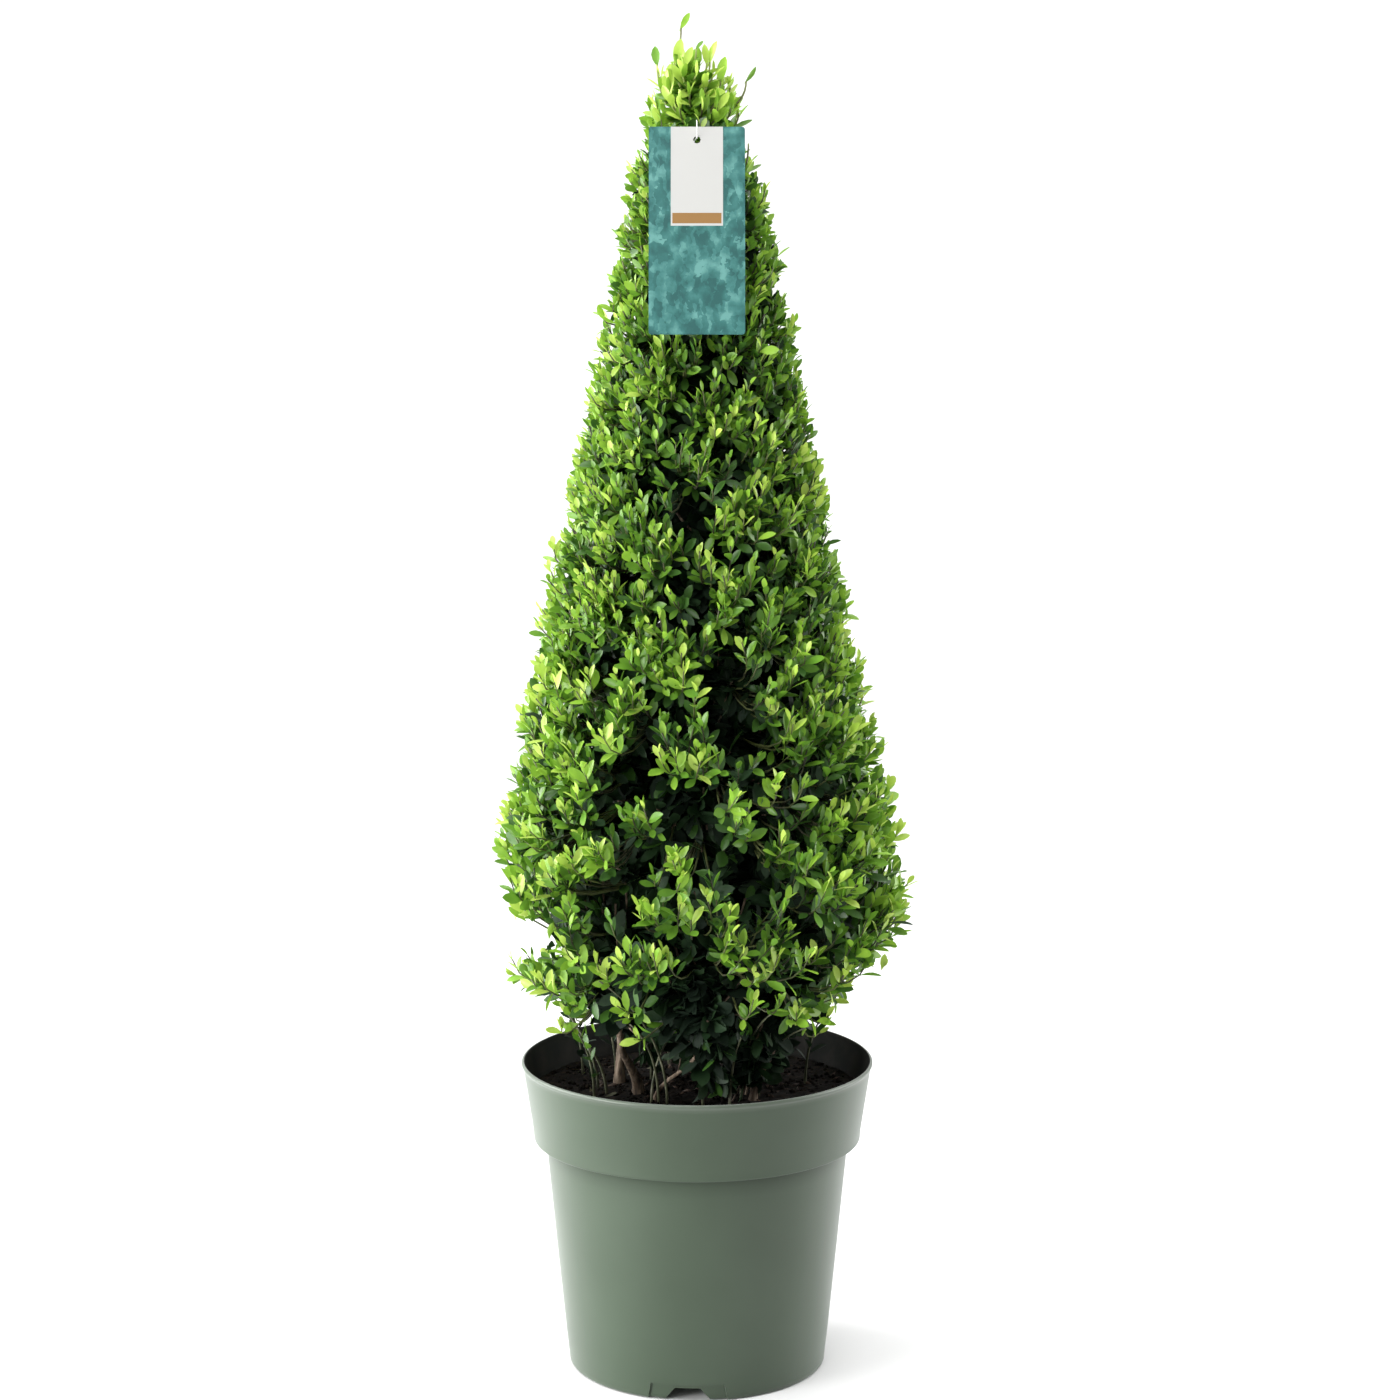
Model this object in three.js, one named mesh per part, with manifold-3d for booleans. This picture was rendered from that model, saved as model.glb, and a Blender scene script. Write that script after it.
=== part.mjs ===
// A Japanese holly clipped to a tall pyramid, standing in a round nursery pot.
// Several stems rise from the soil: a leader runs up the middle, and side stems carry the skirt.
// Millimetres, +Z up, -Y is the front. The origin is the centre of the pot's flat underside.
import * as THREE from "three";
import { mergeVertices } from "three/addons/utils/BufferGeometryUtils.js";
import Module from "manifold-3d";

const wasm = await Module();
wasm.setup();

// Driving dimensions of the pot
const POT_HEIGHT = 213;
const RIM_RADIUS = 120;
const COLLAR_FOOT_Z = 161;
const COLLAR_FOOT_RADIUS = 112;
const BODY_TOP_Z = 147;
const BODY_TOP_RADIUS = 103;
const FOOT_RADIUS = 88.5;
const FOOT_BEVEL = 2;
const POT_WALL = 2;
const LIP = 1.6;
const POT_SIDES = 40;

// Drainage notches round the pot's foot: a shallow recess with a channel through its middle
const NOTCHES = 3;
const NOTCH_TURN = THREE.MathUtils.degToRad(-94);
const RECESS = { width: 47, height: 8.5, from: 82.5 };
const CHANNEL = { foot: 30, top: 22, height: 7, from: 64 };
const HOOD = { width: 51, height: 10.5, from: 61 };
const DRAIN = { width: 14, from: 68, to: 76 };

// Soil, stems and the clear gap between neighbouring pieces
const GAP = 0.3;
const SOIL_LEVEL = 190;
const LEADER = { foot: [9, 7], top: [-2, 0, 835], radius: 4.6, tipRadius: 1.7, sides: 8, steps: 9 };
const STEM = { radius: 3.1, tipRadius: 2, sides: 6, steps: 5, rise: 22, end: { h: 264, share: 0.52 } };
const STEM_FEET = [[52, 20], [8, 46], [-54, 22], [-40, -2], [-29, -24], [38, -22]];
const FLARE = { swell: 0.55, height: 9 };

// Outline of the clipped crown: a turned-in skirt, a straight cone and a domed tip
const CROWN_FOOT = { z: 205, radius: 85 };
const CROWN_WIDEST = { z: 340, radius: 142 };
const CROWN_SHOULDER = { z: 850, radius: 35 };
const CROWN_TOP = 917;
const SKIRT_BULGE = 1.4;
const RAGGED = 5;

// The crown's masses of foliage, tier by tier. Foot and top are heights on the crown's surface.
const TIERS = [
  { name: "skirt", foot: 205, top: 395, sectors: 6, turn: 0, twigs: 9, leaf: 46, coreFoot: 0.34 },
  { name: "lower", foot: 395, top: 545, sectors: 5, turn: 25, twigs: 8, leaf: 44, coreFoot: 0.01 },
  { name: "middle", foot: 545, top: 690, sectors: 4, turn: 10, twigs: 7, leaf: 40, coreFoot: 0.01 },
  { name: "upper", foot: 690, top: 833, sectors: 3, turn: 40, twigs: 6, leaf: 33, coreFoot: 0.01 },
];
const TIP = { name: "tip", foot: 836, twigs: 5, leaf: 27, lean: [-6, 0] };
const TIER_LIFT = 0.5;
const SEAM = 0.8;
const CORE = { inner: 0.24, width: 0.96, top: 0.99, under: 0.42, squareness: 16 };
const BRANCH = { radius: 1.9, tipRadius: 1.5, sides: 4, steps: 3 };
const TWIG = { radius: 2.4, tipRadius: 1.8, under: 0.38 };
const LEAF = { width: 0.5, thickness: 0.05, shoulder: 0.58, sunk: 0.9, cup: 0.1 };
const LEAVES_PER_TWIG = 3;
const LEAF_TRIES = 10;
const LEAF_SPACING = 0.4;
const PROBES = 5;
const SEED = 211;
const CLEAR_OF_LIMBS = 1.2;

// The card label that hangs at the front on a loop round the leader
const TAG = { width: 62, height: 135, thickness: 0.7, corner: 2, holeRadius: 2.5, holeDrop: 8.5 };
const TAG_TOP = { y: -45, z: 842 };
const TAG_LEAN = Math.atan2(28, 132);
const TAG_CLEAR = 2.5;
const LOOP = { radius: 0.6, steps: 56, sides: 3, leaderZ: 824, clasp: 1.3 };

const UP = new THREE.Vector3(0, 0, 1);
const GOLDEN_ANGLE = Math.PI * (3 - Math.sqrt(5));
const EVEN_SPREAD = [0.7548776662, 0.5698402910];

// Colours and finishes
const finish = (colour, roughness) =>
  new THREE.MeshStandardMaterial({ color: colour, roughness, metalness: 0 });
const FINISHES = {
  pot: finish(0x6f8069, 0.5),
  soil: finish(0x1d1712, 0.95),
  bark: finish(0x6e5d47, 0.85),
  foliage: finish(0x5f9a25, 0.45),
  card: finish(0x57938e, 0.4),
  loop: finish(0xe8ece6, 0.35),
};

// Joining and cutting solids

function solidOf(geometry) {
  const bare = geometry.clone();
  bare.deleteAttribute("normal");
  bare.deleteAttribute("uv");
  const merged = mergeVertices(bare, 1e-4);
  return new wasm.Manifold(
    new wasm.Mesh({
      numProp: 3,
      vertProperties: merged.attributes.position.array,
      triVerts: new Uint32Array(merged.index.array),
    }),
  );
}

function geometryOf(solid) {
  const mesh = solid.getMesh();
  return new THREE.BufferGeometry()
    .setAttribute("position", new THREE.BufferAttribute(mesh.vertProperties, 3))
    .setIndex(new THREE.BufferAttribute(mesh.triVerts, 1));
}

const fuse = (solids) => solids.reduce((whole, piece) => whole.add(piece));

// The largest connected body of a solid: loose scraps are dropped and sealed hollows are filled.
function wholeBody(solid) {
  const bodies = solid.decompose();
  return bodies.reduce((best, body) => (body.volume() > best.volume() ? body : best));
}

// A repeatable stream of numbers from 0 to 1
function seededRandom(seed) {
  let state = seed;
  return () => {
    state = (state + 0x6d2b79f5) | 0;
    let mixed = Math.imul(state ^ (state >>> 15), 1 | state);
    mixed = (mixed + Math.imul(mixed ^ (mixed >>> 7), 61 | mixed)) ^ mixed;
    return ((mixed ^ (mixed >>> 14)) >>> 0) / 4294967296;
  };
}

// Crown shape

// Radius of the clipped outline at a height
function crownRadius(z) {
  if (z >= CROWN_TOP) return 0;
  if (z > CROWN_SHOULDER.z) {
    const rise = (z - CROWN_SHOULDER.z) / (CROWN_TOP - CROWN_SHOULDER.z);
    return CROWN_SHOULDER.radius * Math.sqrt(1 - rise * rise);
  }
  if (z >= CROWN_WIDEST.z)
    return THREE.MathUtils.mapLinear(
      z, CROWN_WIDEST.z, CROWN_SHOULDER.z, CROWN_WIDEST.radius, CROWN_SHOULDER.radius,
    );
  const drop = Math.min(1, (CROWN_WIDEST.z - z) / (CROWN_WIDEST.z - CROWN_FOOT.z));
  return CROWN_WIDEST.radius - (CROWN_WIDEST.radius - CROWN_FOOT.radius) * drop ** SKIRT_BULGE;
}

// Tiers meet on cones that climb outwards, as shoots do. This is constant over each such cone.
const coneHeight = (point) => point.z - TIER_LIFT * Math.hypot(point.x, point.y);
const coneOfSurface = (z) => z - TIER_LIFT * crownRadius(z);

// The point under the surface height h, at a share of the crown's radius, on the cone through h
function crownPoint(angle, h, share) {
  const radius = crownRadius(h) * share;
  return new THREE.Vector3(
    radius * Math.cos(angle),
    radius * Math.sin(angle),
    h - TIER_LIFT * (crownRadius(h) - radius),
  );
}

// Limbs

// A round limb along a curve: a cylinder whose rings follow the curve, with a radius that varies by share.
function limbGeometry(curve, radiusAt, sides, steps) {
  const geometry = new THREE.CylinderGeometry(1, 1, 1, sides, steps);
  const frames = curve.computeFrenetFrames(steps, false);
  const position = geometry.attributes.position;
  const point = new THREE.Vector3();
  for (let i = 0; i < position.count; i++) {
    const ring = Math.round((position.getY(i) + 0.5) * steps);
    const share = ring / steps;
    const radius = radiusAt(share);
    curve.getPointAt(share, point);
    point.addScaledVector(frames.normals[ring], radius * position.getX(i));
    point.addScaledVector(frames.binormals[ring], -radius * position.getZ(i));
    position.setXYZ(i, point.x, point.y, point.z);
  }
  return geometry;
}

const taper = (from, to) => (share) => from + (to - from) * share;

// Taper with a root flare at the foot
function flaredTaper(from, to, length) {
  const plain = taper(from, to);
  return (share) => plain(share) * (1 + FLARE.swell * Math.exp((-share * length) / FLARE.height));
}

function leaderCurve() {
  const [x, y] = LEADER.foot;
  const top = new THREE.Vector3(...LEADER.top);
  return new THREE.CubicBezierCurve3(
    new THREE.Vector3(x, y, SOIL_LEVEL + GAP),
    new THREE.Vector3(x, y, THREE.MathUtils.lerp(SOIL_LEVEL, top.z, 0.35)),
    new THREE.Vector3(top.x, top.y, THREE.MathUtils.lerp(SOIL_LEVEL, top.z, 0.65)),
    top,
  );
}

const leader = leaderCurve();
const leaderTaper = flaredTaper(LEADER.radius, LEADER.tipRadius, leader.getLength());

// Point and radius of the leader at a height
function leaderAt(z) {
  let low = 0;
  let high = 1;
  for (let halving = 0; halving < 24; halving++) {
    const middle = (low + high) / 2;
    if (leader.getPointAt(middle).z < z) low = middle;
    else high = middle;
  }
  return { point: leader.getPointAt(low), radius: leaderTaper(low) };
}

const sectorAngle = (tier, sector) =>
  THREE.MathUtils.degToRad(tier.turn) + (2 * Math.PI * (sector + 0.5)) / tier.sectors;

// A side stem rises straight out of the soil and bends out to its mass of the skirt.
function stemCurve(sector) {
  const [x, y] = STEM_FEET[sector];
  const end = crownPoint(sectorAngle(TIERS[0], sector), STEM.end.h, STEM.end.share);
  const foot = new THREE.Vector3(x, y, SOIL_LEVEL + GAP);
  return new THREE.CubicBezierCurve3(
    foot,
    foot.clone().addScaledVector(UP, STEM.rise),
    end.clone().addScaledVector(UP, -STEM.rise * 0.8),
    end,
  );
}

const sideStems = STEM_FEET.map((_, sector) => stemCurve(sector));

// Label and loop

const tagUp = new THREE.Vector3(0, Math.sin(TAG_LEAN), Math.cos(TAG_LEAN));
const tagOut = new THREE.Vector3(0, -Math.cos(TAG_LEAN), Math.sin(TAG_LEAN));
const tagTop = new THREE.Vector3(0, TAG_TOP.y, TAG_TOP.z);
const tagHole = tagTop.clone().addScaledVector(tagUp, -TAG.holeDrop);

function tagGeometry() {
  const half = TAG.width / 2;
  const outline = new THREE.Shape();
  outline.moveTo(half - TAG.corner, 0);
  outline.absarc(half - TAG.corner, -TAG.corner, TAG.corner, Math.PI / 2, 0, true);
  outline.absarc(half - TAG.corner, TAG.corner - TAG.height, TAG.corner, 0, -Math.PI / 2, true);
  outline.absarc(TAG.corner - half, TAG.corner - TAG.height, TAG.corner, -Math.PI / 2, -Math.PI, true);
  outline.absarc(TAG.corner - half, -TAG.corner, TAG.corner, Math.PI, Math.PI / 2, true);
  const hole = new THREE.Path();
  hole.absarc(0, -TAG.holeDrop, TAG.holeRadius, 0, 2 * Math.PI);
  outline.holes.push(hole);
  return new THREE.ExtrudeGeometry(outline, {
    depth: TAG.thickness,
    bevelEnabled: false,
    curveSegments: 4,
  }).translate(0, 0, -TAG.thickness / 2);
}

// The loop's route: through the card's hole, over its top edge, round the leader and back to the hole.
function loopCurve() {
  const held = leaderAt(LOOP.leaderZ);
  const ring = held.radius + LOOP.radius + GAP;
  const front = TAG.thickness / 2 + LOOP.radius + GAP;
  const rest = TAG.holeRadius - LOOP.radius - GAP;
  const atTag = (rise, out) => tagHole.clone().addScaledVector(tagUp, rise).addScaledVector(tagOut, out);
  const atLeader = (dx, dy) => held.point.clone().add(new THREE.Vector3(dx * ring, dy * ring, 0));
  return new THREE.CatmullRomCurve3([
    atTag(TAG.holeDrop * 0.6, 2.2 * front),
    atTag(rest, 1.6 * front),
    atTag(rest, 0),
    atTag(rest, -2 * front),
    atLeader(-1.7, -6),
    atLeader(-1.4, -0.6),
    atLeader(0, 1.29),
    atLeader(1.4, -0.6),
    atLeader(1.7, -6),
    atTag(TAG.holeDrop + 2, -2 * front),
    atTag(TAG.holeDrop + 2.4, front),
    atTag(TAG.holeDrop * 0.75, 2.2 * front),
  ]);
}

const loop = loopCurve();

function loopSolid() {
  const tube = limbGeometry(loop, () => LOOP.radius, LOOP.sides, LOOP.steps);
  const ends = loop.getPointAt(0).add(loop.getPointAt(1)).multiplyScalar(0.5);
  const clasp = new THREE.IcosahedronGeometry(LOOP.clasp, 0).translate(ends.x, ends.y, ends.z);
  return wholeBody(fuse([solidOf(tube), solidOf(clasp)]));
}

// Keeping leaves clear of limbs, label and neighbours

const sampled = (curve, radiusAt, count) =>
  Array.from({ length: count + 1 }, (_, i) => ({
    point: curve.getPointAt(i / count),
    radius: radiusAt(i / count),
  }));

const obstacles = [
  ...sampled(leader, leaderTaper, 200),
  ...sideStems.flatMap((curve) => sampled(curve, flaredTaper(STEM.radius, STEM.tipRadius, 110), 50)),
  ...sampled(loop, () => LOOP.radius, 120),
];

function touchesLimb(point) {
  return obstacles.some(
    (limb) => limb.point.distanceTo(point) < limb.radius + CLEAR_OF_LIMBS,
  );
}

// True in the slab that runs from just behind the card towards the front
function touchesTag(point) {
  const from = point.clone().sub(tagTop);
  const along = -from.dot(tagUp);
  return (
    Math.abs(from.x) < TAG.width / 2 + TAG_CLEAR &&
    along > -TAG_CLEAR &&
    along < TAG.height + TAG_CLEAR &&
    from.dot(tagOut) > -TAG_CLEAR
  );
}

function touchesPot(point) {
  const radius = Math.hypot(point.x, point.y);
  const overRim = radius > RIM_RADIUS - 12 && point.z < POT_HEIGHT + 3;
  return overRim || point.z < SOIL_LEVEL + 3;
}

// Space of one mass: between two cones and two upright planes through the crown's axis
function massSpace(tier, sector) {
  const middle = sectorAngle(tier, sector);
  const half = Math.PI / tier.sectors;
  const low = coneOfSurface(tier.foot) + SEAM;
  const high = coneOfSurface(tier.top) - SEAM;
  const sides = [middle - half, middle + half].map((angle) => [-Math.sin(angle), Math.cos(angle)]);
  const holds = (point, margin) => {
    const cone = coneHeight(point);
    const fromSide = sides.map(([nx, ny]) => nx * point.x + ny * point.y);
    return (
      cone > low + margin &&
      cone < high - margin &&
      fromSide[0] > SEAM + margin &&
      fromSide[1] < -SEAM - margin &&
      Math.hypot(point.x, point.y) < crownRadius(point.z) + RAGGED
    );
  };
  return { middle, half, holds };
}

const tipCone = coneOfSurface(TIP.foot) + SEAM;
const tipSpace = {
  holds: (point, margin) => {
    const fromAxis = Math.hypot(point.x - TIP.lean[0], point.y - TIP.lean[1]);
    const reach = point.z < CROWN_SHOULDER.z + 30 ? crownRadius(point.z) : CROWN_SHOULDER.radius * 0.85;
    return coneHeight(point) > tipCone + margin && fromAxis < reach + RAGGED && point.z < CROWN_TOP;
  },
};

const isFree = (point, space, margin) =>
  space.holds(point, margin) && !touchesLimb(point) && !touchesTag(point) && !touchesPot(point);

// Foliage

// A leaf blade of eight faces: a flattened octahedron with its widest place past the middle.
// Local X runs from root to tip, Y across, and Z out of the upper side.
function leafGeometry(length) {
  const geometry = new THREE.OctahedronGeometry(1, 0);
  const position = geometry.attributes.position;
  for (let i = 0; i < position.count; i++) {
    const [x, y, z] = [position.getX(i), position.getY(i), position.getZ(i)];
    const along = Math.abs(x) > 0.5 ? (x + 1) / 2 : LEAF.shoulder;
    const cupped = Math.abs(y) > 0.5 || x > 0.5 ? LEAF.cup * length : 0;
    position.setXYZ(
      i,
      along * length,
      (y * LEAF.width * length) / 2,
      (z * LEAF.thickness * length) / 2 + cupped,
    );
  }
  return geometry;
}

// The placed leaf that leaves a twig at a point: direction is where it points, faces is what its upper side turns to.
function placedLeaf(root, direction, faces, length) {
  const across = new THREE.Vector3().crossVectors(faces, direction).normalize();
  const normal = new THREE.Vector3().crossVectors(direction, across);
  const place = new THREE.Matrix4().makeBasis(direction, across, normal);
  place.setPosition(root.clone().addScaledVector(direction, -LEAF.sunk));
  return leafGeometry(length).applyMatrix4(place);
}

// Points spread over a leaf's faces, for the tests of space
function leafProbes(leaf) {
  const position = leaf.attributes.position;
  const probes = [];
  for (let i = 0; i < position.count; i += 3) {
    const [a, b, c] = [0, 1, 2].map((k) => new THREE.Vector3().fromBufferAttribute(position, i + k));
    for (let u = 0; u <= PROBES; u++)
      for (let v = 0; v <= PROBES - u; v++)
        probes.push(
          a.clone()
            .multiplyScalar((PROBES - u - v) / PROBES)
            .addScaledVector(b, u / PROBES)
            .addScaledVector(c, v / PROBES),
        );
  }
  return probes;
}

// Leaves of one twig: one at the tip and the rest in a spiral below it, tilted off the twig.
// Each keeps its distance from the leaves already grown on the mass.
function twigLeaves(curve, leafLength, space, grown, random) {
  const leaves = [];
  const startRoll = random() * 2 * Math.PI;
  for (let k = 0; k < LEAVES_PER_TWIG; k++) {
    const share = 0.97 - (0.22 * k) / LEAVES_PER_TWIG;
    const root = curve.getPointAt(share);
    const axis = curve.getTangentAt(share);
    const side = new THREE.Vector3().crossVectors(axis, UP).normalize();
    for (let attempt = 0; attempt < LEAF_TRIES; attempt++) {
      const roll = startRoll + GOLDEN_ANGLE * k + attempt * (2 * random() - 1);
      const tilt = k === 0 ? 0.35 : 0.95 + 0.25 * random();
      const length = leafLength * (1.05 - 0.05 * attempt) * (0.85 + 0.3 * random());
      const outwards = side.clone().applyAxisAngle(axis, roll);
      const direction = axis.clone().multiplyScalar(Math.cos(tilt)).addScaledVector(outwards, Math.sin(tilt));
      direction.addScaledVector(UP, 0.25).normalize();
      const faces = axis.clone().addScaledVector(outwards, -0.4);
      const leaf = placedLeaf(root, direction, faces, length);
      const centre = root.clone().addScaledVector(direction, LEAF.shoulder * length);
      const crowded = grown.some((other) => other.distanceTo(centre) < LEAF_SPACING * leafLength);
      if (!crowded && leafProbes(leaf).every((probe) => isFree(probe, space, 0))) {
        grown.push(centre);
        leaves.push(solidOf(leaf));
        break;
      }
    }
  }
  return leaves;
}

// One twig from the heart of a mass to a point near the crown's surface, with its leaves.
// A twig that would leave the space or touch a limb is skipped, and its leaves with it.
function twigWithLeaves(heart, end, leafLength, space, grown, random) {
  const curve = new THREE.LineCurve3(heart, end);
  const inside = sampled(curve, taper(TWIG.radius, TWIG.tipRadius), 12).every(
    ({ point, radius }) => isFree(point, space, radius),
  );
  if (!inside) return [];
  const wood = limbGeometry(curve, taper(TWIG.radius, TWIG.tipRadius), 3, 1);
  return [solidOf(wood), ...twigLeaves(curve, leafLength, space, grown, random)];
}

// Share of the crown's radius that lies a leaf's length, or part of it, under the surface
const shareUnder = (tier, h, leaves) => Math.max(CORE.inner + 0.08, 1 - (leaves * tier.leaf) / crownRadius(h));

// The smaller solid heart of a clipped mass: a block with rounded edges, laid out in the mass's own
// angle, depth and height
function coreSolid(tier, space) {
  const block = new THREE.BoxGeometry(2, 2, 2, 3, 2, 3);
  const position = block.attributes.position;
  for (let i = 0; i < position.count; i++) {
    const corner = [position.getX(i), position.getY(i), position.getZ(i)];
    const size = corner.reduce((sum, side) => sum + Math.abs(side) ** CORE.squareness, 0);
    const [across, out, up] = corner.map((side) => side / size ** (1 / CORE.squareness));
    const rise = THREE.MathUtils.mapLinear(up, -1, 1, tier.coreFoot, CORE.top);
    const h = THREE.MathUtils.lerp(tier.foot, tier.top, rise);
    const share = THREE.MathUtils.mapLinear(out, 1, -1, CORE.inner, shareUnder(tier, h, CORE.under));
    const point = crownPoint(space.middle + across * space.half * CORE.width, h, share);
    position.setXYZ(i, point.x, point.y, point.z);
  }
  return solidOf(block);
}

// The short branch that carries a mass: it carries a side stem on, or springs from the leader.
function branchCurve(tier, sector, heart) {
  if (tier === TIERS[0]) {
    const stem = sideStems[sector];
    const direction = stem.getTangentAt(1);
    const start = stem.getPointAt(1).addScaledVector(direction, GAP);
    return new THREE.QuadraticBezierCurve3(start, start.clone().addScaledVector(direction, 12), heart);
  }
  const outwards = new THREE.Vector3(heart.x, heart.y, 0).normalize();
  const held = leaderAt(coneOfSurface(tier.foot) + 12 + SEAM);
  const start = held.point.clone().addScaledVector(outwards, held.radius + GAP);
  return new THREE.CubicBezierCurve3(
    start,
    start.clone().addScaledVector(outwards, 10),
    heart.clone().addScaledVector(UP, -18),
    heart,
  );
}

// Points spread evenly over a mass's outer surface, as angle and height shares from -1 to 1
function evenSpread(count, random) {
  const start = [random(), random()];
  return Array.from({ length: count }, (_, i) =>
    EVEN_SPREAD.map((step, k) => 2 * ((start[k] + step * i) % 1) - 1),
  );
}

function massSolid(tier, sector, seed) {
  const random = seededRandom(seed);
  const space = massSpace(tier, sector);
  const heartHeight = THREE.MathUtils.lerp(tier.foot, tier.top, (tier.coreFoot + CORE.top) / 2);
  const heart = crownPoint(space.middle, heartHeight, (CORE.inner + shareUnder(tier, heartHeight, 1)) / 2);
  const branch = branchCurve(tier, sector, heart);
  const wood = limbGeometry(branch, taper(BRANCH.radius, BRANCH.tipRadius), BRANCH.sides, BRANCH.steps);
  const pieces = [coreSolid(tier, space), solidOf(wood)];
  const grown = [];
  for (const [across, up] of evenSpread(tier.twigs, random)) {
    const h = THREE.MathUtils.lerp(tier.foot, tier.top, 0.5 + 0.46 * up);
    const end = crownPoint(space.middle + across * space.half * 0.86, h, shareUnder(tier, h, TWIG.under));
    pieces.push(...twigWithLeaves(heart, end, tier.leaf, space, grown, random));
  }
  return wholeBody(fuse(pieces));
}

// The tuft at the top: its stem carries the leader on, and upright twigs branch from it all round.
function tipSolid(seed) {
  const random = seededRandom(seed);
  const start = leader.getPointAt(1).addScaledVector(leader.getTangentAt(1), GAP);
  const top = new THREE.Vector3(TIP.lean[0], TIP.lean[1], CROWN_TOP - 0.95 * TIP.leaf);
  const curve = new THREE.QuadraticBezierCurve3(
    start,
    start.clone().addScaledVector(leader.getTangentAt(1), 20),
    top,
  );
  const wood = limbGeometry(curve, taper(LEADER.tipRadius, TWIG.tipRadius), BRANCH.sides, BRANCH.steps);
  const grown = [];
  const pieces = [solidOf(wood), ...twigLeaves(curve, TIP.leaf, tipSpace, grown, random)];
  for (let k = 0; k < TIP.twigs; k++) {
    const root = curve.getPointAt(0.12 + (0.55 * k) / TIP.twigs);
    const angle = GOLDEN_ANGLE * k;
    const reach = 20 - k * 0.6;
    const end = root.clone().add(new THREE.Vector3(reach * Math.cos(angle), reach * Math.sin(angle), 16 + 1.2 * k));
    const twig = new THREE.LineCurve3(root, end);
    pieces.push(
      solidOf(limbGeometry(twig, () => TWIG.tipRadius, 3, 1)),
      ...twigLeaves(twig, TIP.leaf, tipSpace, grown, random),
    );
  }
  return wholeBody(fuse(pieces));
}

// Pot and soil

const revolved = (outline, sides) =>
  new THREE.LatheGeometry(outline.map(([r, z]) => new THREE.Vector2(r, z)), sides).rotateX(Math.PI / 2);

// Inner wall of the pot, from the base plate to the lip, kept a little smaller by a margin
function innerWall(margin) {
  const inset = POT_WALL + margin;
  return [
    [FOOT_RADIUS - inset, POT_WALL + 1 + margin],
    [BODY_TOP_RADIUS - inset, BODY_TOP_Z + POT_WALL / 2],
    [COLLAR_FOOT_RADIUS - inset, COLLAR_FOOT_Z + POT_WALL / 2],
    [RIM_RADIUS - inset, POT_HEIGHT - LIP / 2],
  ];
}

// The pot's outer form, as a solid block
function potBlock() {
  const outside = [
    [0, 0],
    [FOOT_RADIUS - FOOT_BEVEL, 0],
    [FOOT_RADIUS, FOOT_BEVEL],
    [BODY_TOP_RADIUS, BODY_TOP_Z],
    [BODY_TOP_RADIUS + 4, BODY_TOP_Z + 2.5],
    [COLLAR_FOOT_RADIUS - 1, COLLAR_FOOT_Z - 5],
    [COLLAR_FOOT_RADIUS, COLLAR_FOOT_Z],
    [RIM_RADIUS - 0.6, POT_HEIGHT - LIP - 2],
    [RIM_RADIUS, POT_HEIGHT - LIP],
    [RIM_RADIUS - LIP / 2, POT_HEIGHT],
    [RIM_RADIUS - POT_WALL + LIP / 4, POT_HEIGHT],
  ];
  return solidOf(revolved([...outside, [0, POT_HEIGHT]], POT_SIDES));
}

// The room inside the pot, open at the top
function potRoom() {
  const wall = innerWall(0);
  const mouth = [wall.at(-1)[0] + LIP / 2, POT_HEIGHT + 1];
  return solidOf(revolved([[0, wall[0][1]], ...wall, mouth, [0, mouth[1]]], POT_SIDES));
}

// A block that stands on the pot's base, lying along a radius
function radialBlock(from, to, width, low, high, turn) {
  return solidOf(
    new THREE.BoxGeometry(to - from, width, high - low)
      .translate((from + to) / 2, 0, (low + high) / 2)
      .rotateZ(turn),
  );
}

function channelSolid(turn) {
  const outline = new THREE.Shape([
    new THREE.Vector2(-CHANNEL.foot / 2, -1),
    new THREE.Vector2(CHANNEL.foot / 2, -1),
    new THREE.Vector2(CHANNEL.top / 2, CHANNEL.height),
    new THREE.Vector2(-CHANNEL.top / 2, CHANNEL.height),
  ]);
  const length = FOOT_RADIUS + 5 - CHANNEL.from;
  return solidOf(
    new THREE.ExtrudeGeometry(outline, { depth: length, bevelEnabled: false })
      .rotateX(Math.PI / 2)
      .rotateZ(Math.PI / 2)
      .translate(CHANNEL.from, 0, 0)
      .rotateZ(turn),
  );
}

const notchTurns = Array.from({ length: NOTCHES }, (_, i) => NOTCH_TURN + (2 * Math.PI * i) / NOTCHES);

// The raised hood inside the pot over each notch, grown by a margin
const hoodSolid = (turn, margin) =>
  radialBlock(HOOD.from - margin, FOOT_RADIUS + 5, HOOD.width + 2 * margin, 1, HOOD.height + margin, turn);

function potSolid() {
  const block = potBlock();
  let pot = block.subtract(potRoom());
  for (const turn of notchTurns) {
    pot = pot
      .add(hoodSolid(turn, 0).intersect(block))
      .subtract(radialBlock(RECESS.from, FOOT_RADIUS + 5, RECESS.width, -1, RECESS.height, turn))
      .subtract(channelSolid(turn))
      .subtract(radialBlock(DRAIN.from, DRAIN.to, DRAIN.width, CHANNEL.height - 1, HOOD.height + 1, turn));
  }
  return wholeBody(pot);
}

function soilSolid() {
  const wall = innerWall(GAP);
  const [, neck, collar, lip] = wall;
  const rise = (SOIL_LEVEL - collar[1]) / (lip[1] - collar[1]);
  const edge = [THREE.MathUtils.lerp(collar[0], lip[0], rise), SOIL_LEVEL];
  const outline = [[0, wall[0][1]], wall[0], neck, collar, edge, [0, SOIL_LEVEL]];
  const hoods = notchTurns.map((turn) => hoodSolid(turn, 1.5));
  return hoods.reduce((soil, hood) => soil.subtract(hood), solidOf(revolved(outline, POT_SIDES)));
}

// Assembly

const plant = new THREE.Group();

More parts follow.
